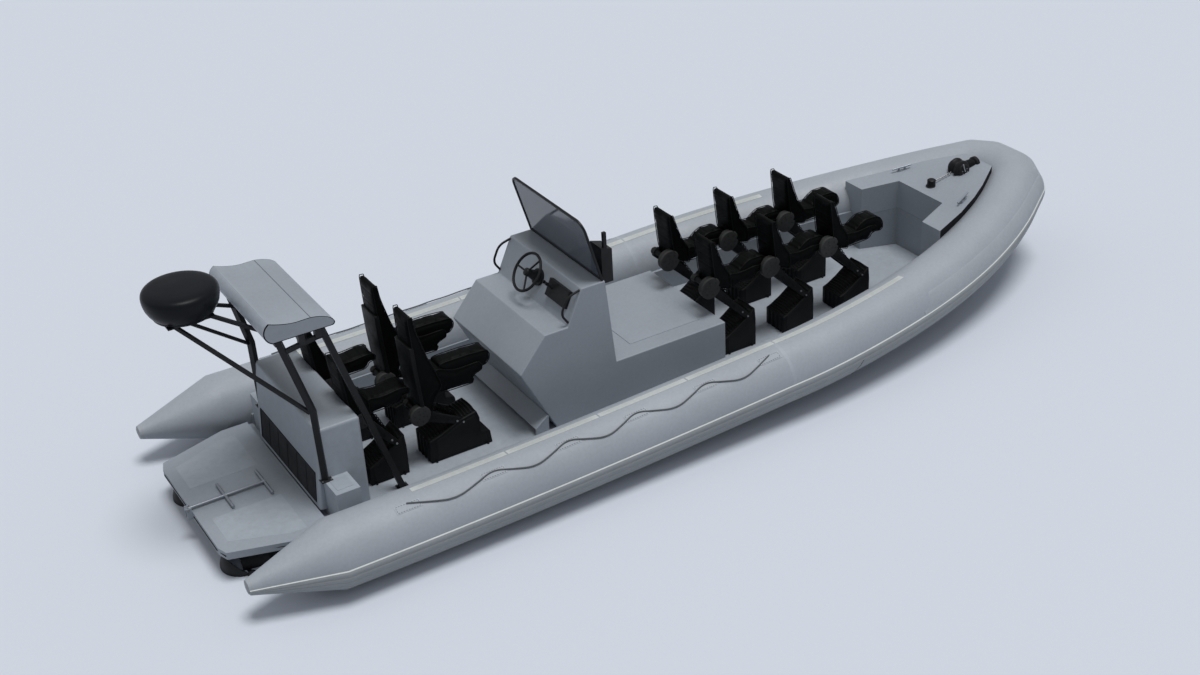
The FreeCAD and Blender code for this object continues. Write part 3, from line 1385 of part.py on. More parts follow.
def cleat_blank():
    length = size.cleat_length
    top = length * CLEAT_HEIGHT_SHARE
    half = length / 2
    shapes = [rod(Vector(-half, 0, top), Vector(half, 0, top), length * CLEAT_HORN_SHARE)]
    for end in (1, -1):
        leg_x = end * length * CLEAT_LEG_OFFSET_SHARE
        shapes.append(rod(Vector(leg_x, 0, 0), Vector(leg_x, 0, top), length * CLEAT_LEG_SHARE))
    base = Vector(*CLEAT_BASE_SHARES) * length
    shapes.append(box_between(Vector(-base.x, -base.y, 0), base))
    return joined(shapes)


cleat_x = locker_aft_x + CLEAT_LENGTH_SHARE * locker_length
cleat_y = CLEAT_SPREAD_SHARE * size.bow_locker_half_width
port_cleat = seated(cleat_blank(), cleat_x, cleat_y, CLEAT_YAW)
keep("cleat_port", port_cleat)
keep("cleat_starboard", mirrored(port_cleat))

# Windlass, in shares of its length from the chain pipe to the motor's end
WINDLASS_LENGTH_SHARE = 0.773
WINDLASS_FOOT_SHARES = (0.20, 0.14, 0.04)
GYPSY_RADIUS_SHARE = 0.165
GYPSY_HALF_SHARES = (0.10, 0.16)
CASE_RADIUS_SHARE = 0.12
MOTOR_RADIUS_SHARE = 0.08
MOTOR_END_SHARE = 0.40
HEAD_RADIUS_SHARE = 0.115
HEAD_START_SHARE = 0.33
CHAIN_RADIUS_SHARE = 0.016
PIPE_START_SHARE = -0.60
PIPE_SHARES = (0.09, 0.07, 0.13)


def windlass_blank():
    """Foot, gypsy on a gear case, motor with a round end and a chain run to its pipe."""
    length = size.windlass_length
    axis_z = length * GYPSY_RADIUS_SHARE
    foot = Vector(*WINDLASS_FOOT_SHARES) * length
    half_in, half_out = [share * length for share in GYPSY_HALF_SHARES]
    head_start = HEAD_START_SHARE * length
    motor_end = MOTOR_END_SHARE * length
    pipe_x = PIPE_START_SHARE * length
    pipe_foot, pipe_neck, pipe_top = [share * length for share in PIPE_SHARES]
    chain_z = pipe_top / 2
    return joined([
        box_between(Vector(-foot.x, -foot.y, 0), foot),
        rod(Vector(0, -half_in, axis_z), Vector(0, half_in, axis_z), GYPSY_RADIUS_SHARE * length),
        rod(Vector(0, -half_out, axis_z), Vector(0, half_out, axis_z), CASE_RADIUS_SHARE * length),
        rod(Vector(0, 0, axis_z), Vector(motor_end, 0, axis_z), MOTOR_RADIUS_SHARE * length),
        rod(Vector(head_start, 0, axis_z), Vector(motor_end, 0, axis_z), HEAD_RADIUS_SHARE * length),
        rod(Vector(0, 0, chain_z), Vector(pipe_x, 0, chain_z), CHAIN_RADIUS_SHARE * length),
        Part.makeCone(pipe_foot, pipe_neck, pipe_top, Vector(pipe_x, 0, 0), Vector(0, 0, 1))])


keep("windlass", seated(windlass_blank(), locker_aft_x + WINDLASS_LENGTH_SHARE * locker_length, 0))

# Check every object and write one file for each sub-part
doc.recompute()
for item in doc.Objects:
    if "Invalid" in item.State or "Error" in item.State:
        raise RuntimeError("failed: " + item.Label)

os.makedirs("parts", exist_ok=True)
faulty = []
for name, piece in parts.items():
    shape = piece.Shape
    if shape.isNull() or not shape.isValid() or len(shape.Solids) != 1:
        faulty.append(name)
    else:
        shape.exportStep("parts/" + name + ".step")
if faulty:
    raise RuntimeError("faulty shapes: " + ", ".join(faulty))
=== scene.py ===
import json
import math

import bmesh
import bpy
from mathutils import Matrix, Vector


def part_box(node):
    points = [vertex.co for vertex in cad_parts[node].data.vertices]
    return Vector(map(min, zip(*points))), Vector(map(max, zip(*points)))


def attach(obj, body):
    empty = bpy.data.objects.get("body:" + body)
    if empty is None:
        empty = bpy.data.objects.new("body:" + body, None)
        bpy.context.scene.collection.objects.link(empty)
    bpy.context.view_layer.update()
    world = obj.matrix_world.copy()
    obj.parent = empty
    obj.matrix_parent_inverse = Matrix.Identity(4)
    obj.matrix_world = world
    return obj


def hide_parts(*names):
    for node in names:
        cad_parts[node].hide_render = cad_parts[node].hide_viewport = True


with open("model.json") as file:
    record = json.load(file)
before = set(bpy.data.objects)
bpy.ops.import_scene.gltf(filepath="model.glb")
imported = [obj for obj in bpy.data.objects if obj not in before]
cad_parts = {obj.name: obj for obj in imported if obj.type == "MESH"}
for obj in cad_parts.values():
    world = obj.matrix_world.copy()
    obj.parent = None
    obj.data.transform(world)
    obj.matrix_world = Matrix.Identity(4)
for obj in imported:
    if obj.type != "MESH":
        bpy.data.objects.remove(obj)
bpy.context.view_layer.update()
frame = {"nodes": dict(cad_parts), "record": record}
nodes = frame["nodes"]
scene = bpy.context.scene


# Camera, at the place and angle from which the boat was seen
CAMERA_PLACE = (-7.7309, -11.9649, 8.5732)
CAMERA_LOOK = (0.43119792, 0.74948711, -0.50233199)
CAMERA_ROLL = math.radians(-3.2388)


def aim_camera():
    data = bpy.data.cameras.new("camera")
    data.lens = 50.0
    data.sensor_width = 36.0
    data.clip_end = 200.0
    camera = bpy.data.objects.new("camera", data)
    scene.collection.objects.link(camera)
    forward = Vector(CAMERA_LOOK).normalized()
    level_right = forward.cross(Vector((0, 0, 1))).normalized()
    level_up = level_right.cross(forward)
    right = level_right * math.cos(CAMERA_ROLL) + level_up * math.sin(CAMERA_ROLL)
    up = level_up * math.cos(CAMERA_ROLL) - level_right * math.sin(CAMERA_ROLL)
    turn = Matrix((right, up, -forward)).transposed().to_4x4()
    camera.matrix_world = Matrix.Translation(CAMERA_PLACE) @ turn
    scene.camera = camera


aim_camera()


# Finishes
def shader(name, colour, roughness, metallic=0.0):
    material = bpy.data.materials.new(name)
    material.use_nodes = True
    surface = material.node_tree.nodes["Principled BSDF"]
    surface.inputs["Base Color"].default_value = (*colour, 1.0)
    surface.inputs["Roughness"].default_value = roughness
    surface.inputs["Metallic"].default_value = metallic
    return material, material.node_tree, surface


def noise(tree, scale, detail):
    place = tree.nodes.new("ShaderNodeTexCoord")
    texture = tree.nodes.new("ShaderNodeTexNoise")
    texture.inputs["Scale"].default_value = scale
    texture.inputs["Detail"].default_value = detail
    tree.links.new(place.outputs["Object"], texture.inputs["Vector"])
    return texture.outputs["Fac"]


def graded(tree, factor, stops):
    """A colour ramp over a factor, between two (position, colour) stops."""
    ramp = tree.nodes.new("ShaderNodeValToRGB")
    for element, (position, colour) in zip(ramp.color_ramp.elements, stops):
        element.position = position
        element.color = (*colour, 1.0)
    tree.links.new(factor, ramp.inputs["Fac"])
    return ramp.outputs["Color"]


def combined(tree, operation, first, second):
    node = tree.nodes.new("ShaderNodeMath")
    node.operation = operation
    tree.links.new(first, node.inputs[0])
    tree.links.new(second, node.inputs[1])
    return node.outputs["Value"]


def mixed(tree, factor, base, over, blend="MIX"):
    """Mixes two colours; each input is a socket or a plain value."""
    mix = tree.nodes.new("ShaderNodeMix")
    mix.data_type = "RGBA"
    mix.blend_type = blend
    for name, value in (("Factor", factor), ("A", base), ("B", over)):
        if isinstance(value, bpy.types.NodeSocket):
            tree.links.new(value, mix.inputs[name])
        else:
            mix.inputs[name].default_value = value if name == "Factor" else (*value, 1.0)
    return mix.outputs["Result"]


def shade(colour, amount):
    return tuple(min(1.0, part * amount) for part in colour)


def worn_edges(tree, base, pale):
    """Lightens the ridges a little, where hands and feet rub the finish."""
    geometry = tree.nodes.new("ShaderNodeNewGeometry")
    rub = graded(tree, geometry.outputs["Pointiness"], [(0.53, (0, 0, 0)), (0.62, (1, 1, 1))])
    return mixed(tree, combined(tree, "MULTIPLY", rub, noise(tree, 14.0, 6.0)), base, pale)


def moulded(name, colour, roughness, grain=900.0, relief=0.0004, variation=0.07, metallic=0.0, mottle=0.5,
            wear=1.25, specular=0.5):
    """A finish with a slow drift of colour, a finer mottle, uneven gloss, a fine grain and rubbed edges."""
    material, tree, surface = shader(name, colour, roughness, metallic)
    surface.inputs["Specular IOR Level"].default_value = specular
    base = graded(tree, noise(tree, 1.2, 3.0),
                  [(0.30, shade(colour, 1 - variation)), (0.72, shade(colour, 1 + variation * 0.6))])
    speck = graded(tree, noise(tree, 38.0, 6.0), [(0.30, (0.88, 0.88, 0.88)), (0.60, (1, 1, 1))])
    mottled = mixed(tree, mottle, base, speck, "MULTIPLY")
    tree.links.new(worn_edges(tree, mottled, shade(colour, wear)), surface.inputs["Base Color"])
    low, high = (roughness * 0.85,) * 3, (min(1.0, roughness * 1.2),) * 3
    gloss = graded(tree, noise(tree, 9.0, 5.0), [(0.3, low), (0.7, high)])
    tree.links.new(gloss, surface.inputs["Roughness"])
    bump = tree.nodes.new("ShaderNodeBump")
    bump.inputs["Strength"].default_value = 0.5
    bump.inputs["Distance"].default_value = relief
    tree.links.new(noise(tree, grain, 3.0), bump.inputs["Height"])
    tree.links.new(bump.outputs["Normal"], surface.inputs["Normal"])
    return material


WEAVE_SCALE = 380.0


def woven(name, colour, roughness, relief):
    """Coated fabric: the weave shows through the coating as a fine square grain."""
    material = moulded(name, colour, roughness, relief=relief, variation=0.06, wear=1.2)
    tree = material.node_tree
    place = tree.nodes.new("ShaderNodeTexCoord")
    total = None
    for axis in ("X", "Y", "Z"):
        wave = tree.nodes.new("ShaderNodeTexWave")
        wave.wave_type = "BANDS"
        wave.bands_direction = axis
        wave.inputs["Scale"].default_value = WEAVE_SCALE
        wave.inputs["Distortion"].default_value = 0.6
        tree.links.new(place.outputs["Object"], wave.inputs["Vector"])
        height = wave.outputs["Fac"]
        total = combined(tree, "ADD", total, height) if total else height
    bump = next(node for node in tree.nodes if node.type == "BUMP")
    tree.links.new(total, bump.inputs["Height"])
    return material


def tinted_glass():
    material, tree, surface = shader("tinted_screen", (0.066, 0.082, 0.112), 0.06)
    surface.inputs["Alpha"].default_value = 0.84
    surface.inputs["Specular IOR Level"].default_value = 0.5
    smear = graded(tree, noise(tree, 3.0, 6.0), [(0.35, (0.04, 0.04, 0.04)), (0.75, (0.14, 0.14, 0.14))])
    tree.links.new(smear, surface.inputs["Roughness"])
    haze = graded(tree, noise(tree, 1.4, 3.0), [(0.3, (0.060, 0.075, 0.104)), (0.7, (0.072, 0.089, 0.121))])
    tree.links.new(haze, surface.inputs["Base Color"])
    return material


laminate = moulded("grey_laminate", (0.312, 0.345, 0.386), 0.46, grain=500.0, relief=0.0003)
hull_grey = moulded("hull_laminate", (0.285, 0.315, 0.352), 0.34, relief=0.0002)
deck_grey = moulded("deck_nonskid", (0.318, 0.352, 0.392), 0.62, grain=320.0, relief=0.0016, mottle=0.8)
tube_fabric = woven("tube_fabric", (0.378, 0.409, 0.452), 0.44, 0.0003)
tube_tape = woven("tube_tape", (0.402, 0.434, 0.474), 0.50, 0.0004)
tread_pale = moulded("tread_strip", (0.510, 0.540, 0.525), 0.66, grain=520.0, relief=0.0014, mottle=0.8)
pale_line = moulded("strake_pale_line", (0.62, 0.65, 0.64), 0.5)
strake_rubber = moulded("strake_rubber", (0.352, 0.375, 0.390), 0.60, grain=300.0, relief=0.0006)
stitch_grey = moulded("stitch_thread", (0.085, 0.095, 0.110), 0.7)
rope_grey = moulded("lifeline_rope", (0.105, 0.118, 0.132), 0.72, grain=420.0, relief=0.0015)
black_paint = moulded("black_paint", (0.0125, 0.0135, 0.015), 0.45, variation=0.2, wear=2.0, specular=0.22)
black_plastic = moulded("black_plastic", (0.0085, 0.009, 0.010), 0.46, variation=0.2, wear=1.8, specular=0.25)
radome_black = moulded("radome_black", (0.0080, 0.0095, 0.0120), 0.34, relief=0.0001, variation=0.15,
                       wear=1.3, specular=0.12)
seat_plastic = moulded("seat_moulding", (0.0050, 0.0054, 0.0058), 0.50, variation=0.25, wear=2.4,
                       specular=0.16)
cover_grey = moulded("pivot_cover", (0.046, 0.046, 0.046), 0.62, grain=70.0, relief=0.003, variation=0.55,
                     mottle=1.0, wear=1.8, specular=0.25)
seat_vinyl = moulded("seat_vinyl", (0.0022, 0.0025, 0.0025), 0.52, grain=260.0, relief=0.0012, variation=0.2,
                     wear=1.8, specular=0.07)
piping_black = moulded("seat_piping", (0.0040, 0.0043, 0.0045), 0.45, variation=0.2, specular=0.14)
rubber = moulded("wheel_rubber", (0.009, 0.0092, 0.010), 0.55, grain=300.0, relief=0.0008, specular=0.25)
# black rubber for the platform edge strip and wing gaskets, also used as painted shade on the bow locker's
# flanks
seal_black_and_painted_shade = moulded("seal_rubber_and_painted_shade", (0.010, 0.011, 0.013), 0.7, specular=0.15)
steel = moulded("brushed_tube", (0.300, 0.325, 0.365), 0.42, relief=0.0002, variation=0.08, metallic=0.55,
                wear=1.3)
bolt_steel = moulded("bolt_steel", (0.42, 0.43, 0.44), 0.34, variation=0.08, metallic=0.9, wear=1.1)
casting = moulded("jet_casting", (0.012, 0.0125, 0.014), 0.48, grain=220.0, relief=0.0012, variation=0.25,
                  wear=2.0, specular=0.28)
iron = moulded("engine_iron", (0.22, 0.23, 0.24), 0.6)
joint_shadow = moulded("joint_line", (0.070, 0.080, 0.095), 0.8)
glass = tinted_glass()
grille_dark = moulded("grille_black", (0.012, 0.014, 0.017), 0.55, variation=0.2, specular=0.2)

FINISHES = {
    "hull_laminate": hull_grey, "deck_laminate": laminate, "tube_fabric": tube_fabric,
    "rubber_band": strake_rubber, "black_frame": black_paint, "black_moulding": black_plastic,
    "windscreen": glass, "black_rubber": rubber, "stainless": steel, "rope": rope_grey,
    "jet_casting": casting, "engine_iron": iron, "seat_black": seat_plastic,
}


def finish_nodes():
    """CAD nodes take their slot's finish, apart from two with one of their own."""
    for row in frame["record"]["subparts"]:
        thing = nodes[row["node"]]
        thing.data.materials.clear()
        thing.data.materials.append(FINISHES[row["material_slot"]])
    nodes["cockpit_deck"].data.materials[0] = deck_grey
    nodes["intake_grille"].data.materials[0] = grille_dark


finish_nodes()


# Making meshes
def finished_mesh(shape, name, material, smooth=32.0):
    """Turns a finished bmesh into a mesh, smooth apart from edges sharper than an angle."""
    mesh = bpy.data.meshes.new(name)
    shape.to_mesh(mesh)
    shape.free()
    for face in mesh.polygons:
        face.use_smooth = True
    mesh.set_sharp_from_angle(angle=math.radians(smooth))
    mesh.materials.append(material)
    return mesh


def placed(data, name, body="boat", node=None):
    """An object that rides on a body and may stand for a CAD node."""
    piece = bpy.data.objects.new(name, data)
    scene.collection.objects.link(piece)
    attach(piece, body)
    if node:
        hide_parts(node)
    return piece


def new_piece(shape, name, material, body="boat", smooth=32.0, node=None):
    return placed(finished_mesh(shape, name, material, smooth), name, body, node)


def take_in(shape, part):
    """Adds a finished part to a larger shape."""
    spare = bpy.data.meshes.new("spare")
    part.to_mesh(spare)
    part.free()
    shape.from_mesh(spare)
    bpy.data.meshes.remove(spare)


def whole(shape):
    return shape.verts[:] + shape.edges[:] + shape.faces[:]


def face_out(shape):
    bmesh.ops.recalc_face_normals(shape, faces=shape.faces)


def extruded(shape, faces):
    """Doubles faces and gives the new corners, still at their old places."""
    run = bmesh.ops.extrude_face_region(shape, geom=faces)
    return [item for item in run["geom"] if isinstance(item, bmesh.types.BMVert)]


def closed_loop(shape, points):
    verts = [shape.verts.new(point) for point in points]
    return [shape.edges.new(pair) for pair in zip(verts, verts[1:] + verts[:1])]


def rounded(part, edges, width, segments):
    bmesh.ops.bevel(part, geom=edges, offset=width, offset_type="OFFSET", segments=segments, affect="EDGES",
                    profile=0.5, material=-1, clamp_overlap=True)


def add_prism(shape, outline, reach, rounding=0.0, segments=3):
    """Extrudes a closed outline of points by the vector reach, with rounded edges."""
    part = bmesh.new()
    faces = bmesh.ops.contextual_create(part, geom=closed_loop(part, outline))["faces"]
    bmesh.ops.translate(part, vec=reach, verts=extruded(part, faces))
    face_out(part)
    if rounding:
        rounded(part, part.edges[:], rounding, segments)
    take_in(shape, part)


def level_oblong(low_x, low_y, high_x, high_y, z):
    return [(low_x, low_y, z), (high_x, low_y, z), (high_x, high_y, z), (low_x, high_y, z)]


def upright_oblong(x, low_y, low_z, high_y, high_z):
    return [(x, low_y, low_z), (x, high_y, low_z), (x, high_y, high_z), (x, low_y, high_z)]


def add_block(shape, low, high, rounding=0.0):
    outline = level_oblong(low[0], low[1], high[0], high[1], low[2])
    add_prism(shape, outline, (0, 0, high[2] - low[2]), rounding, 2)


def add_plate(shape, outline, lift, rounding, segments=2):
    """A thin plate laid on a flat face: it starts half a lift below the face."""
    lift = Vector(lift)
    add_prism(shape, [Vector(point) - lift * 0.5 for point in outline], lift * 1.5, rounding, segments)


def add_rod(shape, start, end, radius, segments=20, rounding=0.0):
    start, end = Vector(start), Vector(end)
    run = end - start
    turn = run.to_track_quat("Z", "Y").to_matrix().to_4x4()
    part = bmesh.new()
    bmesh.ops.create_cone(part, cap_ends=True, segments=segments, radius1=radius, radius2=radius,
                          depth=run.length, matrix=Matrix.Translation((start + end) / 2) @ turn)
    if rounding:
        rims = [edge for edge in part.edges if any(len(face.verts) > 4 for face in edge.link_faces)]
        rounded(part, rims, rounding, 3)
    take_in(shape, part)


def add_turned(shape, profile, centre, axis, segments=40):
    """Spins (distance along axis, radius) points about an axis; a profile starts and ends on the axis."""
    centre, axis = Vector(centre), Vector(axis).normalized()
    side = axis.orthogonal().normalized()
    part = bmesh.new()
    points = [part.verts.new(centre + axis * along + side * radius) for along, radius in profile]
    edges = [part.edges.new(pair) for pair in zip(points, points[1:])]
    bmesh.ops.spin(part, geom=points + edges, cent=centre, axis=axis, angle=2 * math.pi, steps=segments,
                   use_merge=True, use_duplicate=False)
    bmesh.ops.remove_doubles(part, verts=part.verts, dist=0.00005)
    face_out(part)
    take_in(shape, part)


def bar_curve(name, points, radius, sides, steps, closed=False, straight=False):
    """A round bar along a line of points, as a curve."""
    curve = bpy.data.curves.new(name, "CURVE")
    curve.dimensions = "3D"
    curve.bevel_depth = radius
    curve.bevel_resolution = sides
    curve.resolution_u = steps
    curve.use_fill_caps = True
    spline = curve.splines.new("POLY" if straight else "NURBS")
    spline.points.add(len(points) - 1)
    for point, place in zip(spline.points, points):
        point.co = (*place, 1.0)
    spline.use_cyclic_u = closed
    if not straight:
        spline.order_u = 3
        spline.use_endpoint_u = not closed
    return curve


def add_line(shape, points, radius, closed=False, straight=False, sides=4):
    holder = bpy.data.objects.new("bar", bar_curve("bar", points, radius, sides, 6, closed, straight))
    scene.collection.objects.link(holder)
    bpy.context.view_layer.update()
    mesh = bpy.data.meshes.new_from_object(holder)
    bpy.data.objects.remove(holder)
    shape.from_mesh(mesh)
    bpy.data.meshes.remove(mesh)


def add_bolts(shape, centre, axis, radius, count, size):
    """Hexagon heads on a circle."""
    centre, axis = Vector(centre), Vector(axis).normalized()
    side = axis.orthogonal().normalized()
    for step in range(count):
        foot = centre + Matrix.Rotation(2 * math.pi * step / count, 3, axis) @ side * radius
        add_rod(shape, foot - axis * size * 0.3, foot + axis * size * 0.6, size, segments=6)


SOFTENED_ANGLE = math.radians(25)


def softened(node, name, material, rounding, slot):
    """A CAD form with its hard edges rounded over, its broad faces kept flat in shading."""
    shape = bmesh.new()
    shape.from_mesh(nodes[node].data)
    bmesh.ops.remove_doubles(shape, verts=shape.verts, dist=0.0002)
    bmesh.ops.dissolve_limit(shape, angle_limit=math.radians(1.0), verts=shape.verts, edges=shape.edges)
    sharp = [edge for edge in shape.edges
             if len(edge.link_faces) == 2 and edge.calc_face_angle(0) > SOFTENED_ANGLE]
    rounded(shape, sharp, rounding, 3)
    piece = new_piece(shape, name, material, smooth=50.0, node=node)
    weigh = piece.modifiers.new("even", "WEIGHTED_NORMAL")
    weigh.mode = "FACE_AREA"
    weigh.weight = 50
    weigh.keep_sharp = True
    return piece


# Collar: the middle line is read from the CAD chambers and swept as smooth skins
TUBE_RADIUS = 0.310
CONE_SEAM_X = -4.250
CONE_TIP_X = -5.000
CONE_TIP_RADIUS = 0.062
CHAMBER_JOINT_X = 0.250
SIDE_PLANES = [-4.248 + 0.2965 * step for step in range(16)]
BOW_PLANES = [0.32 + 0.12 * step for step in range(30)]
BOW_CORNER = [Vector((4.1325, 0.3313, 0.8198)), Vector((4.232, 0.1442, 0.840)), Vector((4.232, 0.0, 0.840))]
BOW_HEADING = math.radians(34.0)
BOW_RISE = 0.16
MITRE_EASE = 0.040
TUBE_SEGMENTS = 64


def section_centres(node, planes):
    """Middle of the port chamber where it crosses planes square to the boat."""
    centres = []
    for x in planes:
        shape = bmesh.new()
        shape.from_mesh(nodes[node].data)
        cut = bmesh.ops.bisect_plane(shape, geom=whole(shape), plane_co=(x, 0, 0), plane_no=(1, 0, 0))
        ring = [item.co.copy() for item in cut["geom_cut"]
                if isinstance(item, bmesh.types.BMVert) and item.co.y > 0.05]
        shape.free()
        middle = [(min(values) + max(values)) / 2
                  for values in ([point.y for point in ring], [point.z for point in ring])]
        centres.append(Vector((x, *middle)))
    return centres


LINE = section_centres("collar_port", SIDE_PLANES) + section_centres("collar_bow", BOW_PLANES)


# A station is a section of the tube: its centre, heading, stretch at a mitre, and radius
def station_at(x):
    """Section of the port tube at a place along the boat."""
    for index, (left, right) in enumerate(zip(LINE, LINE[1:])):
        if right.x >= x:
            break
    share = (x - left.x) / (right.x - left.x)
    before = LINE[max(index - 1, 0)]
    after = LINE[min(index + 2, len(LINE) - 1)]
    heading = (right - before).lerp(after - left, share).normalized()
    return left.lerp(right, share), heading, 1.0, TUBE_RADIUS


def side_stations(start, end):
    """Sections along the port side between two places, both included."""
    inside = [station_at(centre.x) for centre in LINE if start + 0.01 < centre.x < end - 0.01]
    return [station_at(start)] + inside + [station_at(end)]


def bow_stations():
    """Mitred sections round the blunt bow, to the centreline."""
    arrive = Vector((math.cos(BOW_HEADING), -math.sin(BOW_HEADING), BOW_RISE)).normalized()
    across = (BOW_CORNER[1] - BOW_CORNER[0]).normalized()
    front = Vector((0, -1, 0))
    first = (arrive + across).normalized()
    second = (across + front).normalized()
    return [(BOW_CORNER[0], first, 1.0 / first.dot(across), TUBE_RADIUS),
            (BOW_CORNER[1], second, 1.0 / second.dot(front), TUBE_RADIUS),
            (BOW_CORNER[2], front, 1.0, TUBE_RADIUS)]


def cone_stations():
    """Sections of the end cone from its tip to the seam."""
    stations = []
    for share in (0.0, 0.25, 0.5, 0.75, 1.0):
        x = CONE_TIP_X + share * (CONE_SEAM_X - CONE_TIP_X)
        radius = CONE_TIP_RADIUS + share * (TUBE_RADIUS - CONE_TIP_RADIUS)
        stations.append((Vector((x, LINE[0].y, LINE[0].z)), Vector((1, 0, 0)), 1.0, radius))
    return stations


def section_place(station):
    centre, heading, stretch, radius = station
    out = Vector((0, 0, 1)).cross(heading).normalized()
    up = heading.cross(out)
    place = Matrix((out * stretch, up, heading)).transposed().to_4x4()
    place.translation = centre
    return place


def skin_point(station, angle, lift):
    """A point on the tube's skin, at an angle above the horizontal on the outboard side."""
    turn = math.radians(angle)
    reach = station[3] + lift
    return section_place(station) @ Vector((math.cos(turn) * reach, math.sin(turn) * reach, 0))


def tube_point(x, angle, lift, side=1):
    point = skin_point(station_at(x), angle, lift)
    return Vector((point.x, side * point.y, point.z))


def circle_loop(shape, station, lift=0.0):
    made = bmesh.ops.create_circle(shape, segments=TUBE_SEGMENTS, radius=station[3] + lift,
                                   matrix=section_place(station))
    return list({edge for vert in made["verts"] for edge in vert.link_edges})


def bridge(shape, loops):
    for left, right in zip(loops, loops[1:]):
        bmesh.ops.bridge_loops(shape, edges=left + right)


def skin(shape, stations, loops, last_end=False):
    """Joins loops into a skin, closed at its first end, with the bow's corners eased."""
    bridge(shape, loops)
    bmesh.ops.contextual_create(shape, geom=loops[0])
    if last_end:
        bmesh.ops.contextual_create(shape, geom=loops[-1])
    for station, loop in zip(stations, loops):
        if station[2] > 1.0:
            bmesh.ops.bevel(shape, geom=loop, offset=MITRE_EASE, offset_type="OFFSET", segments=5,
                            profile=0.5, affect="EDGES")
    face_out(shape)


def chamber(stations, last_end):
    shape = bmesh.new()
    skin(shape, stations, [circle_loop(shape, station) for station in stations], last_end)
    return shape


def mirror_over(shape):
    bmesh.ops.mirror(shape, geom=whole(shape), matrix=Matrix.Identity(4), merge_dist=0.0005, axis="Y")
    face_out(shape)


def port_to_starboard(shape):
    bmesh.ops.scale(shape, vec=(1, -1, 1), verts=shape.verts)
    bmesh.ops.reverse_faces(shape, faces=shape.faces)


def band(stations, profiles):
    """Sweeps closed profiles of (angle, lift), one a station, over the port tube and its mirror image."""
    shape = bmesh.new()
    loops = []
    for station, profile in zip(stations, profiles):
        loops.append(closed_loop(shape, [skin_point(station, angle, lift) for angle, lift in profile]))
    skin(shape, stations, loops)
    mirror_over(shape)
    return shape


BURIED = -0.003


def tube_patch(shape, along, angles, lift, side, steps):
    """A thin slab glued to the tube between two places along it and two angles."""
    part = bmesh.new()
    bmesh.ops.create_grid(part, x_segments=steps[0], y_segments=steps[1], size=1.0)
    spots = {}
    for vert in part.verts:
        x = along[0] + (vert.co.x + 1) / 2 * (along[1] - along[0])
        angle = angles[0] + (vert.co.y + 1) / 2 * (angles[1] - angles[0])
        vert.co = tube_point(x, angle, lift, side)
        spots[vert.co.to_tuple(5)] = (x, angle)
    for vert in extruded(part, part.faces[:]):
        x, angle = spots[vert.co.to_tuple(5)]
        vert.co = tube_point(x, angle, BURIED, side)
    face_out(part)
    take_in(shape, part)


AFT_STATIONS = cone_stations() + side_stations(CONE_SEAM_X + 0.02, CHAMBER_JOINT_X)
CHAMBER_SMOOTH = 24.0


def build_chambers():
    starboard = chamber(AFT_STATIONS, True)
    port_to_starboard(starboard)
    bow = chamber(side_stations(CHAMBER_JOINT_X, LINE[-1].x) + bow_stations(), False)
    caps = [face for face in bow.faces if len(face.verts) > 10 and abs(face.calc_center_median().y) < 0.01]
    bmesh.ops.delete(bow, geom=caps, context="FACES_ONLY")
    mirror_over(bow)
    for place, shape in (("port", chamber(AFT_STATIONS, True)), ("starboard", starboard), ("bow", bow)):
        piece = new_piece(shape, "tube_" + place, tube_fabric, smooth=CHAMBER_SMOOTH,
                          node="collar_" + place)


# Rubbing strake: profiles as angles on the tube and lifts off its skin
STRAKE_PROFILE = [
    (2.6, -0.004), (2.6, 0.009), (1.6, 0.0125), (-5.5, 0.0135), (-6.6, 0.0095), (-7.7, 0.0135),
    (-16.0, 0.0135), (-17.1, 0.0095), (-18.2, 0.0135), (-26.5, 0.0135), (-27.6, 0.0095), (-28.7, 0.0135),
    (-34.8, 0.0125), (-36.0, 0.008), (-36.0, -0.004), (-26.0, -0.004), (-12.0, -0.004)]
LINE_PROFILE = [(2.4, -0.003), (2.4, 0.010), (2.9, 0.0125), (3.6, 0.0125), (4.1, 0.010), (4.3, -0.003)]
STRAKE_JOINT = [(0.95, 1.53, 0.257), (1.04, 1.59, 0.406)]


def build_strake():
    stations = cone_stations() + side_stations(CONE_SEAM_X + 0.02, LINE[-1].x) + bow_stations()
    for name, profile, material, slot in (("strake_band", STRAKE_PROFILE, strake_rubber, "rubber_band"),
                                          ("strake_line", LINE_PROFILE, pale_line, "tube_fabric")):
        shape = band(stations, [profile] * len(stations))
        new_piece(shape, name, material, smooth=40.0, node="rubbing_strake")


def build_strake_joints():
    """Dark slanting joint where two lengths of the strake meet, on both sides."""
    joints = bmesh.new()
    ends = []
    for x, y, z in STRAKE_JOINT:
        centre = station_at(x)[0]
        ends.append((x, math.degrees(math.atan2(z - centre.z, y - centre.y))))
    (low_x, low_angle), (high_x, high_angle) = ends
    for side in (1, -1):
        points = []
        for step in range(7):
            x = low_x + (high_x - low_x) * step / 6
            angle = low_angle + (high_angle - low_angle) * step / 6
            points.append(tube_point(x, angle, 0.0130, side))
        add_line(joints, points, 0.0030, sides=2)
    new_piece(joints, "strake_joints", joint_shadow)


# Collar trim: tread strips, seam tapes, stitched lifeline patches, bow guard and cone caps
STRIP_ENDS = [(-3.500, -2.597), (-2.583, -1.667), (-1.653, -0.732), (-0.718, 0.246), (0.260, 1.920)]
STRIP_ANGLES = (89.5, 101.0)
PATCH_PLACES = [-3.606, -2.802, -2.067, -1.368, -0.624, 0.092]
PATCH_HALF = 0.115
PATCH_ANGLE = 65.0
TAPE_CORNERS = [(-0.018, BURIED), (-0.018, 0.0008), (0.018, 0.0008), (0.018, BURIED)]
CAP_PROFILE = [(0.0, 0.0), (0.0, 0.052), (0.004, 0.060), (0.030, 0.0725), (0.034, 0.0725), (0.034, 0.0)]
GUARD_START_X = 1.87
GUARD_LOW = 4.0
GUARD_SPAN = 36.0


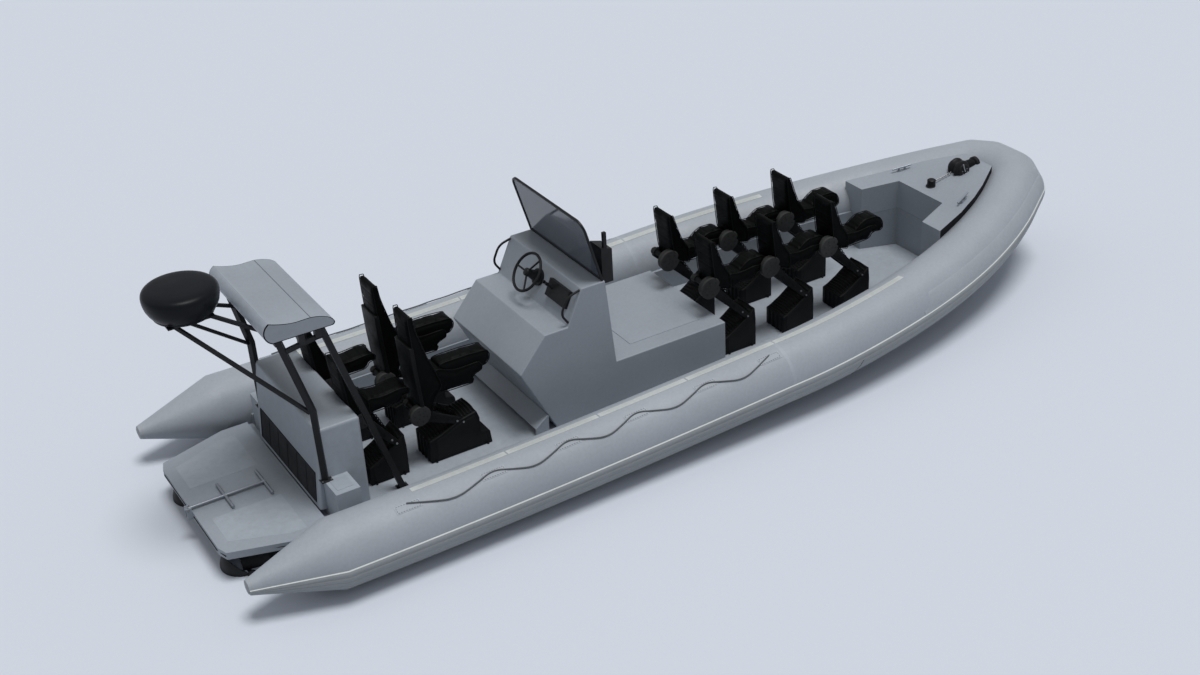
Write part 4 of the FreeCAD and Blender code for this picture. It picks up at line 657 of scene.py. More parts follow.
def add_stitch(shape, x, angle, half_length, half_angle, side):
    tube_patch(shape, (x - half_length, x + half_length), (angle - half_angle, angle + half_angle), 0.0044,
               side, (1, 1))


def build_tread_strips():
    strips = bmesh.new()
    for side in (1, -1):
        for start, end in STRIP_ENDS:
            tube_patch(strips, (start, end), STRIP_ANGLES, 0.003, side, (int((end - start) * 14), 4))
    new_piece(strips, "tread_strips", tread_pale, smooth=CHAMBER_SMOOTH)


def build_line_patches():
    patches, stitches = bmesh.new(), bmesh.new()
    for side in (1, -1):
        for x in PATCH_PLACES:
            tube_patch(patches, (x - PATCH_HALF, x + PATCH_HALF), (PATCH_ANGLE - 7, PATCH_ANGLE + 7), 0.0032,
                       side, (8, 6))
            for step in range(9):
                for angle in (PATCH_ANGLE - 5.4, PATCH_ANGLE + 5.4):
                    add_stitch(stitches, x - 0.096 + 0.024 * step, angle, 0.007, 0.35, side)
            for middle in (x - 0.104, x + 0.104):
                for angle in (PATCH_ANGLE - 2.5, PATCH_ANGLE + 2.5):
                    add_stitch(stitches, middle, angle, 0.0018, 1.3, side)
    new_piece(patches, "line_patches", tube_tape, smooth=CHAMBER_SMOOTH)
    new_piece(stitches, "patch_stitching", stitch_grey)


def build_seam_tapes():
    """Tapes glued round the tubes over the seams between the side chambers and the bow's."""
    tapes = bmesh.new()
    centre, heading, stretch, radius = station_at(CHAMBER_JOINT_X)
    loops = []
    for offset, lift in TAPE_CORNERS:
        loops.append(circle_loop(tapes, (centre + heading * offset, heading, stretch, radius), lift))
    bridge(tapes, loops + loops[:1])
    face_out(tapes)
    starboard = tapes.copy()
    port_to_starboard(starboard)
    take_in(tapes, starboard)
    new_piece(tapes, "seam_tapes", tube_fabric, smooth=CHAMBER_SMOOTH)


def guard_profile(station):
    """The guard's outline round the tube, which widens quickly from its aft end."""
    span = GUARD_SPAN * min(1.0, 0.12 + max(0.0, station[0].x - 1.86) / 0.16)
    angles = [GUARD_LOW + span * step / 8 for step in range(9)]
    return [(angle, 0.0032) for angle in angles] + [(angle, -0.004) for angle in reversed(angles)]


def build_bow_guard():
    stations = side_stations(GUARD_START_X, LINE[-1].x) + bow_stations()
    guard = band(stations, [guard_profile(station) for station in stations])
    new_piece(guard, "bow_guard", tube_tape, smooth=CHAMBER_SMOOTH)


def build_cone_caps():
    caps = bmesh.new()
    for side in (1, -1):
        add_turned(caps, CAP_PROFILE, (CONE_TIP_X - 0.002, side * LINE[0].y, LINE[0].z), (1, 0, 0), 32)
    new_piece(caps, "cone_caps", strake_rubber)


# Lifelines, each one rope looped from patch to patch
LIFELINE_POINTS = [
    (-3.6062, 1.4723, 0.635), (-3.4293, 1.526, 0.6087), (-3.2042, 1.5731, 0.5723), (-2.979, 1.5219, 0.6087),
    (-2.8021, 1.465, 0.635), (-2.6403, 1.5187, 0.6111), (-2.4344, 1.5658, 0.5792), (-2.2285, 1.5145, 0.6201),
    (-2.0667, 1.4577, 0.65), (-1.913, 1.5114, 0.627), (-1.7173, 1.5586, 0.5948), (-1.5216, 1.5075, 0.6355),
    (-1.3678, 1.4507, 0.6652), (-1.2042, 1.5043, 0.6432), (-0.9959, 1.5514, 0.6147), (-0.7876, 1.5001, 0.659),
    (-0.6239, 1.4432, 0.6916), (-0.4665, 1.4968, 0.6713), (-0.266, 1.544, 0.6425), (-0.0656, 1.4928, 0.6866),
    (0.0919, 1.436, 0.7189)]


def build_lifelines():
    for side_name, side in (("port", 1), ("starboard", -1)):
        name = "lifeline_rope_" + side_name
        points = [(x, side * y, z) for x, y, z in LIFELINE_POINTS]
        curve = bar_curve(name, points, 0.006, 4, 8)
        curve.materials.append(rope_grey)
        piece = placed(curve, name, node="lifeline_" + side_name)


build_chambers()
build_strake()
build_tread_strips()
build_seam_tapes()
build_line_patches()
build_bow_guard()
build_cone_caps()
build_strake_joints()
build_lifelines()


# Mouldings that keep their CAD form, with their edges eased
MOULDINGS = [
    ("swim_platform", "platform_moulding", laminate, 0.007, "deck_laminate"),
    ("console", "console_moulding", laminate, 0.012, "deck_laminate"),
    ("foot_rest", "foot_rest_plate", laminate, 0.004, "deck_laminate"),
    ("bow_locker", "bow_locker_moulding", laminate, 0.007, "deck_laminate"),
    ("side_unit", "side_unit_case", black_plastic, 0.010, "black_moulding"),
    ("helm_unit", "helm_unit_case", black_plastic, 0.004, "black_moulding"),
    ("throttle_control", "throttle_case", black_plastic, 0.004, "black_moulding"),
    ("arch_frame", "arch_bars", black_paint, 0.004, "black_frame"),
    ("radome_bracket", "radome_carrier", black_paint, 0.003, "black_frame"),
]


def paint_flank_shade(locker):
    """Painted shade: the locker's flanks, which face the tube across a narrow gap, are made black to stand
    for the shadow in that gap.
    """
    locker.data.materials.append(seal_black_and_painted_shade)
    for face in locker.data.polygons:
        outward = face.normal.y * (1 if face.center.y > 0 else -1)
        upright = outward > 0.35 and abs(face.normal.z) < 0.8
        if upright and face.area > 0.0004 and abs(face.center.y) > 0.10 and face.center.x > 2.75:
            # painted shade: upright flank faces turned to the tube take the black finish in place of the
            # gap's shadow
            face.material_index = 1


def build_mouldings():
    for moulding in MOULDINGS:
        piece = softened(*moulding)
        if piece.name == "bow_locker_moulding":
            paint_flank_shade(piece)


# Swim platform: rubber strip round the edge, two tread panels, ladder treads and pin heads
PLATFORM_TOP = 0.302
PLATFORM_AFT_X = -5.000
EDGE_Z = PLATFORM_TOP - 0.038
EDGE_CORNERS = [(PLATFORM_AFT_X, 0.660), (-4.9720, 0.784), (-4.3450, 0.9965), (-4.200, 0.9975)]
EDGE_RUNS = [(0.660, 0.02), (-0.10, -0.660)]
TREAD_OUTLINE = [(-4.90, 0.27), (-4.27, 0.27), (-4.27, 0.86), (-4.40, 0.86), (-4.90, 0.66)]
LADDER_HINGE = Vector((-5.032, -0.040, 0.325))
LADDER_LENGTH = 0.718
RUNG_PITCH = 0.360
RUNG_RINGS = 9


def build_platform_trim():
    edge = bmesh.new()
    for side in (1, -1):
        add_line(edge, [(x, side * y, EDGE_Z) for x, y in EDGE_CORNERS], 0.0065, straight=True)
    for run in EDGE_RUNS:
        add_line(edge, [(PLATFORM_AFT_X, y, EDGE_Z) for y in run], 0.0065, straight=True)
    new_piece(edge, "platform_edge_strip", seal_black_and_painted_shade)
    tread = bmesh.new()
    for side in (1, -1):
        outline = [(x, side * y, PLATFORM_TOP) for x, y in TREAD_OUTLINE]
        add_plate(tread, outline, (0, 0, 0.0012), 0.0006, 1)
    new_piece(tread, "platform_tread", deck_grey)


def build_ladder_trim():
    treads, pins = bmesh.new(), bmesh.new()
    hinge_x, hinge_y, z = LADDER_HINGE
    for step in (0, 1):
        x = hinge_x + LADDER_LENGTH - RUNG_PITCH * step - 0.015
        for side in (1, -1):
            inner, outer = hinge_y + side * 0.045, hinge_y + side * 0.196
            for ring in range(RUNG_RINGS):
                y = inner + (outer - inner) * (ring + 0.5) / RUNG_RINGS
                add_rod(treads, (x, y - 0.0025, z), (x, y + 0.0025, z), 0.0138)
            add_rod(treads, (x, outer, z), (x, outer + side * 0.008, z), 0.0140, rounding=0.003)
    new_piece(treads, "ladder_treads", steel, "boarding_ladder")
    for side in (1, -1):
        y = hinge_y + side * 0.0365
        add_rod(pins, (hinge_x, y - 0.0025, z), (hinge_x, y + 0.0025, z), 0.0100, segments=6)
    new_piece(pins, "ladder_pin_heads", bolt_steel)


# Engine box: louvres on the intake, service door with hinges and latches, lids on the quarter lockers
BOX_AFT_X = -4.090
BOX_LEAN = 0.08 / 0.88
BOX_FORWARD_X = -3.620
LOUVRES = 14
LATCH_PROFILE = [(-0.004, 0.0), (-0.004, 0.028), (0.002, 0.028), (0.004, 0.024), (0.003, 0.019), (0.003, 0.0)]


def box_face_x(z):
    return BOX_AFT_X + (z - 0.2) * BOX_LEAN


def build_louvres():
    low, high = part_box("intake_grille")
    half = (high.y - low.y) / 2
    louvres = bmesh.new()
    for step in range(LOUVRES):
        z = low.z + 0.022 + (high.z - low.z - 0.044) * step / (LOUVRES - 1)
        section = [(0.004, -0.006), (-0.004, -0.009), (-0.005, -0.006), (0.004, 0.004)]
        outline = [(box_face_x(z) + dx, -half + 0.012, z + dz) for dx, dz in section]
        add_prism(louvres, outline, (0, 2 * half - 0.024, 0))
    ends = [low.z + 0.008, high.z - 0.008]
    sides = [half - 0.008, 0.008 - half]
    for y in sides + [-0.42, -0.21, 0.0, 0.21, 0.42]:
        add_line(louvres, [(box_face_x(z) - 0.002, y, z) for z in ends], 0.006 if y in sides else 0.004,
                 straight=True)
    for z in ends:
        add_line(louvres, [(box_face_x(z) - 0.002, y, z) for y in reversed(sides)], 0.006, straight=True)
    new_piece(louvres, "grille_louvres", grille_dark)


def build_engine_door():
    door, lids, fittings = bmesh.new(), bmesh.new(), bmesh.new()
    add_plate(door, upright_oblong(BOX_FORWARD_X, -0.58, 0.40, 0.58, 0.99), (0.006, 0, 0), 0.003)
    new_piece(door, "engine_door", laminate)
    for side in (1, -1):
        add_plate(lids, level_oblong(-3.985, side * 0.745, -3.835, side * 0.925, 0.595), (0, 0, 0.004), 0.002)
    new_piece(lids, "quarter_lids", laminate)
    for y in (-0.42, 0.42):
        add_plate(fittings, upright_oblong(BOX_FORWARD_X + 0.006, y - 0.05, 0.965, y + 0.05, 1.015),
                  (0.003, 0, 0), 0.001, 1)
        hinge_x = BOX_FORWARD_X + 0.011
        add_rod(fittings, (hinge_x, y - 0.05, 0.99), (hinge_x, y + 0.05, 0.99), 0.005)
    for y in (-0.22, 0.22):
        add_turned(fittings, LATCH_PROFILE, (BOX_FORWARD_X + 0.007, y, 0.47), (1, 0, 0), 28)
    new_piece(fittings, "door_fittings", bolt_steel)


# Console: trunk hatch with its joint, and a forward door with hinges and a latch
TRUNK_TOP = 0.686
DOOR_LATCH = [(-0.004, 0.0), (-0.004, 0.026), (0.002, 0.026), (0.004, 0.021), (0.002, 0.017), (0.002, 0.0)]


def front_face(y, z):
    return Vector((-1.138 + (1.549 - z) * 0.0904, y, z))


def build_console_trim():
    hatch, fittings = bmesh.new(), bmesh.new()
    add_plate(hatch, level_oblong(-0.80, -0.47, -0.02, 0.47, TRUNK_TOP), (0, 0, 0.006), 0.004, 3)
    corners = [front_face(y, z) for x, y, z in upright_oblong(0, -0.30, 0.80, 0.30, 1.40)]
    add_plate(hatch, corners, (0.0076, 0, 0.0007), 0.003)
    new_piece(hatch, "console_hatches", laminate)
    off_face = Vector((0.008, 0, 0))
    for z in (0.92, 1.28):
        place = front_face(-0.305, z) + off_face
        add_rod(fittings, place - Vector((0, 0, 0.03)), place + Vector((0, 0, 0.03)), 0.006)
    add_turned(fittings, DOOR_LATCH, front_face(0.25, 1.10) + off_face, (0.996, 0, 0.09), 28)
    new_piece(fittings, "console_fittings", bolt_steel)


# Wing: end caps with a dark gasket and the seam across its top
WING_SEAM_X = -3.880
WING_HALF = 0.6195
WING_ENDS = [("wing_gaskets", seal_black_and_painted_shade, "rubber_band", 0.6185, 0.0035, 1.004),
             ("wing_end_caps", hull_grey, "deck_laminate", WING_HALF, 0.0040, 0.91)]


def wing_section(point, normal):
    """The closed outline where a plane cuts the wing, as a bmesh."""
    shape = bmesh.new()
    shape.from_mesh(nodes["arch_wing"].data)
    bmesh.ops.remove_doubles(shape, verts=shape.verts, dist=0.0002)
    bmesh.ops.bisect_plane(shape, geom=whole(shape), plane_co=point, plane_no=normal, clear_inner=True,
                           clear_outer=True)
    return shape


def build_wing_trim():
    for name, material, slot, along, thickness, size in WING_ENDS:
        shape = bmesh.new()
        for side in (1, -1):
            part = wing_section((0, side * 0.60, 0), (0, 1, 0))
            bmesh.ops.contextual_create(part, geom=part.edges[:])
            middle = sum((vert.co for vert in part.verts), Vector()) / len(part.verts)
            for vert in part.verts:
                vert.co = Vector((middle.x + (vert.co.x - middle.x) * (1 + (size - 1) * 0.35), side * along,
                                  middle.z + (vert.co.z - middle.z) * size))
            bmesh.ops.translate(part, vec=(0, side * thickness, 0), verts=extruded(part, part.faces[:]))
            face_out(part)
            take_in(shape, part)
        new_piece(shape, name, material, smooth=30.0)
    section = wing_section((WING_SEAM_X, 0, 0), (1, 0, 0))
    top = max(vert.co.z for vert in section.verts)
    section.free()
    seam = bmesh.new()
    add_block(seam, (WING_SEAM_X - 0.003, -WING_HALF, top - 0.004),
              (WING_SEAM_X + 0.003, WING_HALF, top + 0.0006))
    new_piece(seam, "wing_seam", joint_shadow)


# Radome: turned cover with a joint above its skirt, and bolts under it
RADOME_PROFILE = [
    (0.0, 0.0), (0.0, 0.238), (0.004, 0.25), (0.022, 0.26), (0.0245, 0.26), (0.025, 0.257), (0.028, 0.257),
    (0.0285, 0.262), (0.06, 0.285), (0.1, 0.304), (0.14, 0.3135), (0.17, 0.3165), (0.19, 0.316),
    (0.208, 0.312), (0.223, 0.3035), (0.235, 0.29), (0.244, 0.271), (0.25, 0.245), (0.2538, 0.2),
    (0.2565, 0.14), (0.259, 0.06), (0.26, 0.0)]
RADOME_BOLT = 0.16


def build_radome():
    low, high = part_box("radome")
    centre = (low + high) / 2
    cover, bolts = bmesh.new(), bmesh.new()
    add_turned(cover, RADOME_PROFILE, (centre.x, centre.y, low.z), (0, 0, 1), 72)
    new_piece(cover, "radome_cover", radome_black, smooth=30.0, node="radome")
    for x in (-RADOME_BOLT, RADOME_BOLT):
        for y in (-RADOME_BOLT, RADOME_BOLT):
            foot = Vector((centre.x + x, y, low.z - 0.012))
            add_rod(bolts, foot - Vector((0, 0, 0.012)), foot + Vector((0, 0, 0.003)), 0.010, segments=6)
    new_piece(bolts, "radome_bolts", bolt_steel)


# Arch: foot plates with their bolts
ARCH_FEET = [(-4.000, 0.712, 0.595), (-3.300, 0.663, 0.200)]
PLATE_HALF = 0.052
PLATE_BOLT = 0.040


def build_arch_trim():
    plates, bolts = bmesh.new(), bmesh.new()
    for side in (1, -1):
        for x, y, z in ARCH_FEET:
            add_block(plates, (x - PLATE_HALF, side * y - PLATE_HALF, z - 0.001),
                      (x + PLATE_HALF, side * y + PLATE_HALF, z + 0.009), 0.003)
            for dx in (-PLATE_BOLT, PLATE_BOLT):
                for dy in (-PLATE_BOLT, PLATE_BOLT):
                    foot = Vector((x + dx, side * y + dy, z + 0.008))
                    add_rod(bolts, foot, foot + Vector((0, 0, 0.008)), 0.0075, segments=6)
    new_piece(plates, "arch_foot_plates", black_paint)
    new_piece(bolts, "arch_bolts", bolt_steel)


# Helm: hub cap and rim grips on the wheel
WHEEL_CENTRE = Vector((-1.5738, 0.0, 1.4977))
WHEEL_AXIS = Vector((-0.7923, 0.0, 0.6101))
WHEEL_RADIUS = 0.1815
RIM_RIBS = 60


def build_wheel_trim():
    hub, ribs = bmesh.new(), bmesh.new()
    add_turned(hub, [(0.0, 0.0), (0.0, 0.034), (0.012, 0.034), (0.020, 0.028), (0.023, 0.016), (0.024, 0.0)],
               WHEEL_CENTRE, WHEEL_AXIS, 36)
    new_piece(hub, "wheel_hub_cap", black_plastic, "steering_wheel")
    side = WHEEL_AXIS.orthogonal().normalized()
    for step in range(RIM_RIBS):
        out = Matrix.Rotation(2 * math.pi * step / RIM_RIBS, 3, WHEEL_AXIS) @ side
        spot = WHEEL_CENTRE + out * WHEEL_RADIUS
        along = WHEEL_AXIS.cross(out).normalized()
        add_rod(ribs, spot - along * 0.0035, spot + along * 0.0035, 0.0137, segments=14, rounding=0.0012)
    new_piece(ribs, "wheel_rim_ribs", rubber, "steering_wheel")


build_mouldings()
build_platform_trim()
build_ladder_trim()
build_louvres()
build_engine_door()
build_console_trim()
build_wing_trim()
build_radome()
build_arch_trim()
softened("windscreen_frame", "screen_frame", black_paint, 0.0045, "black_frame")
build_wheel_trim()


# Jockey seats: padded saddle, pommel and back on a sprung arm over a ribbed pedestal
DECK_Z = 0.200
SEAT_Y = 0.350
PEDESTAL_HALF = 0.145
PAD_HALF = 0.150
SHELL_HALF = 0.148
ARM_Y = 0.122
ROW_FORM = {
    "length": 0.660, "height": 1.280, "cover": 0.1100, "ramp": 3,
    "arm": [(-0.106, 0.617), (0.58, 0.25)],
    "pedestal": [(0.12, 0.0), (0.685, 0.0), (0.685, 0.22), (0.667, 0.32), (0.53, 0.262), (0.36, 0.20),
                 (0.20, 0.155), (0.12, 0.14)],
    "back": [(-0.03, 0.60), (0.25, 0.543), (0.25, 0.672), (0.125, 0.775), (0.055, 0.87), (-0.020, 0.997),
             (-0.095, 1.0), (-0.110, 0.975)],
    "saddle": [(0.10, 0.575), (0.255, 0.543), (0.67, 0.549), (0.732, 0.569), (0.75, 0.59), (0.85, 0.60),
               (0.865, 0.635), (0.82, 0.662), (0.70, 0.668), (0.45, 0.655), (0.25, 0.672)],
    "pommel": [(0.42, 0.62), (0.94, 0.575), (1.0, 0.60), (1.0, 0.645), (0.95, 0.695), (0.86, 0.725),
               (0.64, 0.727), (0.54, 0.70), (0.44, 0.66)],
}
AFT_FORM = dict(ROW_FORM, cover=0.0792, arm=[(0.125, 0.535), (0.58, 0.25)], pommel=None)
HELM_FORM = {
    "length": 0.735, "height": 1.522, "cover": 0.0990, "ramp": 5,
    "arm": [(-0.03, 0.345), (0.55, 0.20)],
    "pedestal": [(0.04, 0.0), (0.88, 0.0), (0.86, 0.085), (0.735, 0.10), (0.735, 0.20), (0.70, 0.25),
                 (0.45, 0.225), (0.20, 0.17), (0.04, 0.15)],
    "back": [(0.0, 0.31), (0.09, 0.30), (0.20, 0.43), (0.30, 0.50), (0.23, 0.61), (0.140, 0.72),
             (0.040, 0.90), (0.015, 0.998), (-0.055, 1.0), (-0.066, 0.98)],
    "saddle": [(0.10, 0.44), (0.38, 0.427), (0.72, 0.424), (0.745, 0.455), (0.72, 0.471), (0.86, 0.495),
               (0.875, 0.53), (0.83, 0.562), (0.50, 0.56), (0.23, 0.61)],
    "pommel": [(0.30, 0.52), (0.92, 0.505), (0.99, 0.54), (1.0, 0.575), (0.96, 0.612), (0.70, 0.622),
               (0.30, 0.622)],
    "shell": [(-0.012, 0.335), (0.045, 0.33), (0.0, 0.62), (-0.020, 0.80), (-0.080, 0.80), (-0.062, 0.62)],
}
SHOULDER_SHARE = 0.82
TOP_WIDTH_SHARE = 0.96
PAD_WIDTHS = {"saddle": 0.76, "pommel": 0.60, "back": 1.03}
PAD_VOXEL = 0.015
PAD_START_INSET = 0.006
PAD_SWELL_LIMIT = 0.010
PAD_PRESSURE = 4.0
PAD_FRAMES = 20
CHANNEL_HALF = 0.014
CHANNEL_DEPTH = 0.0035
PIPING_INSET = 0.0085
PIPING_SIDE_INSET = 0.009
PIPING_RADIUS = 0.0042


def side_points(form, key, y=0.0):
    return [Vector((along * form["length"], y, DECK_Z + up * form["height"])) for along, up in form[key]]


def shoulder_height(form):
    return DECK_Z + SHOULDER_SHARE * form["height"]


def width_share(form, key, z):
    """Share of its width that a pad keeps at a height: a back narrows above its shoulder."""
    shoulder = shoulder_height(form)
    if key != "back" or z <= shoulder:
        return 1.0
    return 1 - (1 - TOP_WIDTH_SHARE) * (z - shoulder) / (DECK_Z + form["height"] - shoulder)


def pad_blank(form, key):
    """The pad's own outline given its width."""
    half = PAD_HALF * PAD_WIDTHS[key]
    shape = bmesh.new()
    add_prism(shape, side_points(form, key, -half), (0, 2 * half, 0), 0.014)
    if key == "back":
        bmesh.ops.bisect_plane(shape, geom=whole(shape), plane_co=(0, 0, shoulder_height(form)),
                               plane_no=(0, 0, 1))
        for vert in shape.verts:
            vert.co.y *= width_share(form, key, vert.co.z)
    return shape


def applied(holder):
    """The mesh that the holder's modifiers make."""
    bpy.context.view_layer.update()
    return bpy.data.meshes.new_from_object(holder.evaluated_get(bpy.context.evaluated_depsgraph_get()))


def shift_skin(mesh, distance):
    for vert in mesh.vertices:
        vert.co = vert.co + vert.normal * distance


def blow_up(holder):
    """Swells a pad as closed cloth under pressure, no further than the limit."""
    start = [vert.co.copy() for vert in holder.data.vertices]
    cloth = holder.modifiers.new("cloth", "CLOTH")
    cloth.settings.quality = 4
    cloth.settings.use_pressure = True
    cloth.settings.uniform_pressure_force = PAD_PRESSURE
    cloth.settings.effector_weights.gravity = 0.0
    for frame_number in range(1, PAD_FRAMES + 1):
        scene.frame_set(frame_number)
    swollen = applied(holder)
    holder.modifiers.clear()
    for vert, after, before in zip(holder.data.vertices, swollen.vertices, start):
        step = after.co - before
        if step.length > PAD_SWELL_LIMIT:
            step *= PAD_SWELL_LIMIT / step.length
        vert.co = before + step
    scene.frame_set(1)


def stuffed(form, key):
    """A pad blown up like filled cloth, held near the shape it was cut to."""
    shape = pad_blank(form, key)
    mesh = bpy.data.meshes.new("pad")
    shape.to_mesh(mesh)
    shape.free()
    holder = bpy.data.objects.new("pad", mesh)
    scene.collection.objects.link(holder)
    remesh = holder.modifiers.new("remesh", "REMESH")
    remesh.mode = "VOXEL"
    remesh.voxel_size = PAD_VOXEL
    holder.data = applied(holder)
    holder.modifiers.clear()
    shift_skin(holder.data, -PAD_START_INSET)
    holder.data.update()
    blow_up(holder)
    shape = bmesh.new()
    shape.from_mesh(holder.data)
    bmesh.ops.smooth_vert(shape, verts=shape.verts, factor=0.4, use_axis_x=True, use_axis_y=True,
                          use_axis_z=True)
    bpy.data.objects.remove(holder)
    return sewn(shape, form, key)


def sewn(shape, form, key):
    """Presses the sewn channels into a pad: level ones in a back, cross ones in the others."""
    bmesh.ops.subdivide_edges(shape, edges=shape.edges, cuts=1, use_grid_fill=True, smooth=0.0)
    shape.normal_update()
    if key == "back":
        axis, stops = 2, [DECK_Z + form["height"] * share for share in (0.70, 0.78, 0.86, 0.94)]
    else:
        axis, stops = 0, [form["length"] * share for share in (0.36, 0.50, 0.64, 0.78)]
    for vert in shape.verts:
        gap = min(abs(vert.co[axis] - stop) for stop in stops)
        if gap < CHANNEL_HALF and abs(vert.normal.y) < 0.6:
            vert.co += vert.normal * -CHANNEL_DEPTH * (1 - gap / CHANNEL_HALF) ** 0.6
    return shape


def piping(form, key):
    """Cord sewn round both sides of a pad."""
    shape = bmesh.new()
    half = PAD_HALF * PAD_WIDTHS[key] - PIPING_SIDE_INSET
    points = side_points(form, key)
    runs = list(zip(points, points[1:] + points[:1]))
    area = sum(start.x * end.z - end.x * start.z for start, end in runs)
    for side in (1, -1):
        line = []
        for start, end in runs:
            run = (end - start).normalized()
            inward = Vector((-run.z, 0, run.x)) * math.copysign(PIPING_INSET, area)
            for share in (0.15, 0.5, 0.85):
                point = start.lerp(end, share) + inward
                line.append((point.x, side * half * width_share(form, key, point.z), point.z))
        add_line(shape, line, PIPING_RADIUS, closed=True, sides=2)
    return shape


BELLOWS_PITCH = 0.034
BELLOWS_HALF = 0.12


def pedestal(form):
    """Moulded foot with bellows ribs on its ramp, panels on its sides, and studs and bolts at its foot."""
    shape = bmesh.new()
    add_prism(shape, side_points(form, "pedestal", -PEDESTAL_HALF), (0, 2 * PEDESTAL_HALF, 0), 0.009)
    points = side_points(form, "pedestal")
    ramp = points[form["ramp"]:]
    for start, end in zip(ramp, ramp[1:]):
        count = max(1, round((end - start).length / BELLOWS_PITCH))
        for step in range(count):
            spot = start.lerp(end, (step + 0.5) / count)
            rib = [(spot.x + 0.012 * (1 - share ** 2), share * BELLOWS_HALF, spot.z + 0.004)
                   for share in (-1.0, -0.5, 0.0, 0.5, 1.0)]
            add_line(shape, rib, 0.0085, sides=2)
    middle = sum(points, Vector()) / len(points)
    for side in (1, -1):
        panel = [middle + (point - middle) * 0.80 + Vector((0, side * PEDESTAL_HALF, 0)) for point in points]
        add_plate(shape, panel, (0, side * 0.0035, 0), 0.002, 1)
    stud_x = points[0].x + 0.002
    for y in (-0.095, -0.032, 0.032, 0.095):
        add_rod(shape, (stud_x, y, DECK_Z + 0.01), (stud_x, y, points[-1].z - 0.012), 0.013, segments=16,
                rounding=0.004)
    for side in (1, -1):
        y = side * (PEDESTAL_HALF + 0.006)
        for x in (points[0].x + 0.05, points[1].x - 0.05):
            add_rod(shape, (x, y, DECK_Z + 0.004), (x, y, DECK_Z + 0.016), 0.011, segments=6)
    return shape


ARM_BOSS = [(-0.004, 0.0), (-0.004, 0.016), (0.003, 0.016), (0.004, 0.013), (0.004, 0.0)]
COIL_TURNS = 7
COIL_STEPS = COIL_TURNS * 8


def arms(form):
    """Two cast arms from the pivot to the foot, cross tubes and a sprung damper."""
    shape = bmesh.new()
    pivot, foot = side_points(form, "arm")
    run = (foot - pivot).normalized()
    across = Vector((-run.z, 0, run.x))
    outline = [pivot + across * 0.052, foot + across * 0.026, foot - across * 0.026, pivot - across * 0.052]
    for side in (1, -1):
        add_prism(shape, [Vector((point.x, side * ARM_Y - 0.019, point.z)) for point in outline],
                  (0, 0.038, 0), 0.006, 2)
        for share in (0.35, 0.62):
            spot = pivot.lerp(foot, share)
            add_turned(shape, ARM_BOSS, (spot.x, side * 0.142, spot.z), (0, side, 0), 20)
    for end, radius in ((pivot, 0.026), (foot, 0.020)):
        add_rod(shape, (end.x, -0.112, end.z), (end.x, 0.112, end.z), radius, segments=24)
    low = foot + Vector((-0.03, 0, 0.01))
    high = pivot.lerp(foot, 0.30) + Vector((0.05, 0, 0.05))
    add_rod(shape, low, high, 0.018)
    reach = high - low
    axis = reach.normalized()
    out = axis.orthogonal().normalized()
    coil = []
    for step in range(COIL_STEPS + 1):
        share = step / COIL_STEPS
        turn = Matrix.Rotation(2 * math.pi * COIL_TURNS * share, 3, axis)
        coil.append(low + reach * (0.12 + 0.76 * share) + turn @ out * 0.030)
    add_line(shape, coil, 0.0050, sides=1)
    return shape


def covers(form):
    """Speckled drum over the pivot on the starboard side and a small cap on the port side."""
    shape = bmesh.new()
    pivot = side_points(form, "arm")[0]
    for side, radius, depth in ((-1, form["cover"], 0.045), (1, form["cover"] * 0.36, 0.022)):
        profile = [(-depth, 0.0), (-depth, radius * 0.90), (-depth + 0.008, radius * 0.97),
                   (0.004, radius * 0.97), (0.006, radius), (0.020, radius), (0.026, radius * 0.95),
                   (0.0275, radius * 0.88), (0.0275, 0.0)]
        add_turned(shape, profile, (pivot.x, side * ARM_Y, pivot.z), (0, side, 0), 44)
    return shape


def cover_bolts(form):
    """Two bolts near the foot of each arm."""
    shape = bmesh.new()
    pivot, foot = side_points(form, "arm")
    for side in (1, -1):
        for share in (0.80, 0.94):
            spot = pivot.lerp(foot, share)
            add_rod(shape, (spot.x, side * 0.138, spot.z), (spot.x, side * 0.149, spot.z), 0.010, segments=6)
    return shape


def cover_screws(form):
    """Dark screws sunk in the drum's face."""
    shape = bmesh.new()
    pivot = side_points(form, "arm")[0]
    for ring, count, size in ((0.62, 6, 0.0060), (0.25, 3, 0.0050)):
        add_bolts(shape, (pivot.x, -0.1485, pivot.z), (0, -1, 0), form["cover"] * ring, count, size)
    return shape


def shell(form):
    """Hard shell over the lower half of the helm seat's back."""
    shape = bmesh.new()
    add_prism(shape, side_points(form, "shell", -SHELL_HALF), (0, 2 * SHELL_HALF, 0), 0.010)
    return shape


SEAT_PARTS = [
    ("pedestal", pedestal, seat_plastic, "seat_black"), ("arms", arms, seat_plastic, "seat_black"),
    ("covers", covers, cover_grey, "seat_black"), ("screws", cover_screws, black_plastic, "seat_black"),
    ("bolts", cover_bolts, bolt_steel, "stainless"), ("shell", shell, seat_plastic, "seat_black"),
]
SEAT_GROUPS = [
    (AFT_FORM, [("aft_seat", -3.600)]), (HELM_FORM, [("helm_seat", -2.960)]),
    (ROW_FORM, [("seat_row_1", 0.182), ("seat_row_2", 0.891), ("seat_row_3", 1.600)]),
]


def seat_parts(form, pads):
    """Name, mesh and slot of each part of a seat standing at the origin; pads keeps what is stuffed."""
    parts = []
    for part, build, material, slot in SEAT_PARTS:
        if part != "shell" or part in form:
            parts.append((part, finished_mesh(build(form), part, material), slot))
    for key in PAD_WIDTHS:
        if not form[key]:
            continue
        signature = (tuple(form[key]), form["length"])
        if signature not in pads:
            pads[signature] = stuffed(form, key)
        parts.append((key, finished_mesh(pads[signature].copy(), key, seat_vinyl, 60.0), "seat_black"))
        cord = finished_mesh(piping(form, key), key + "_piping", piping_black)
        parts.append((key + "_piping", cord, "seat_black"))
    return parts


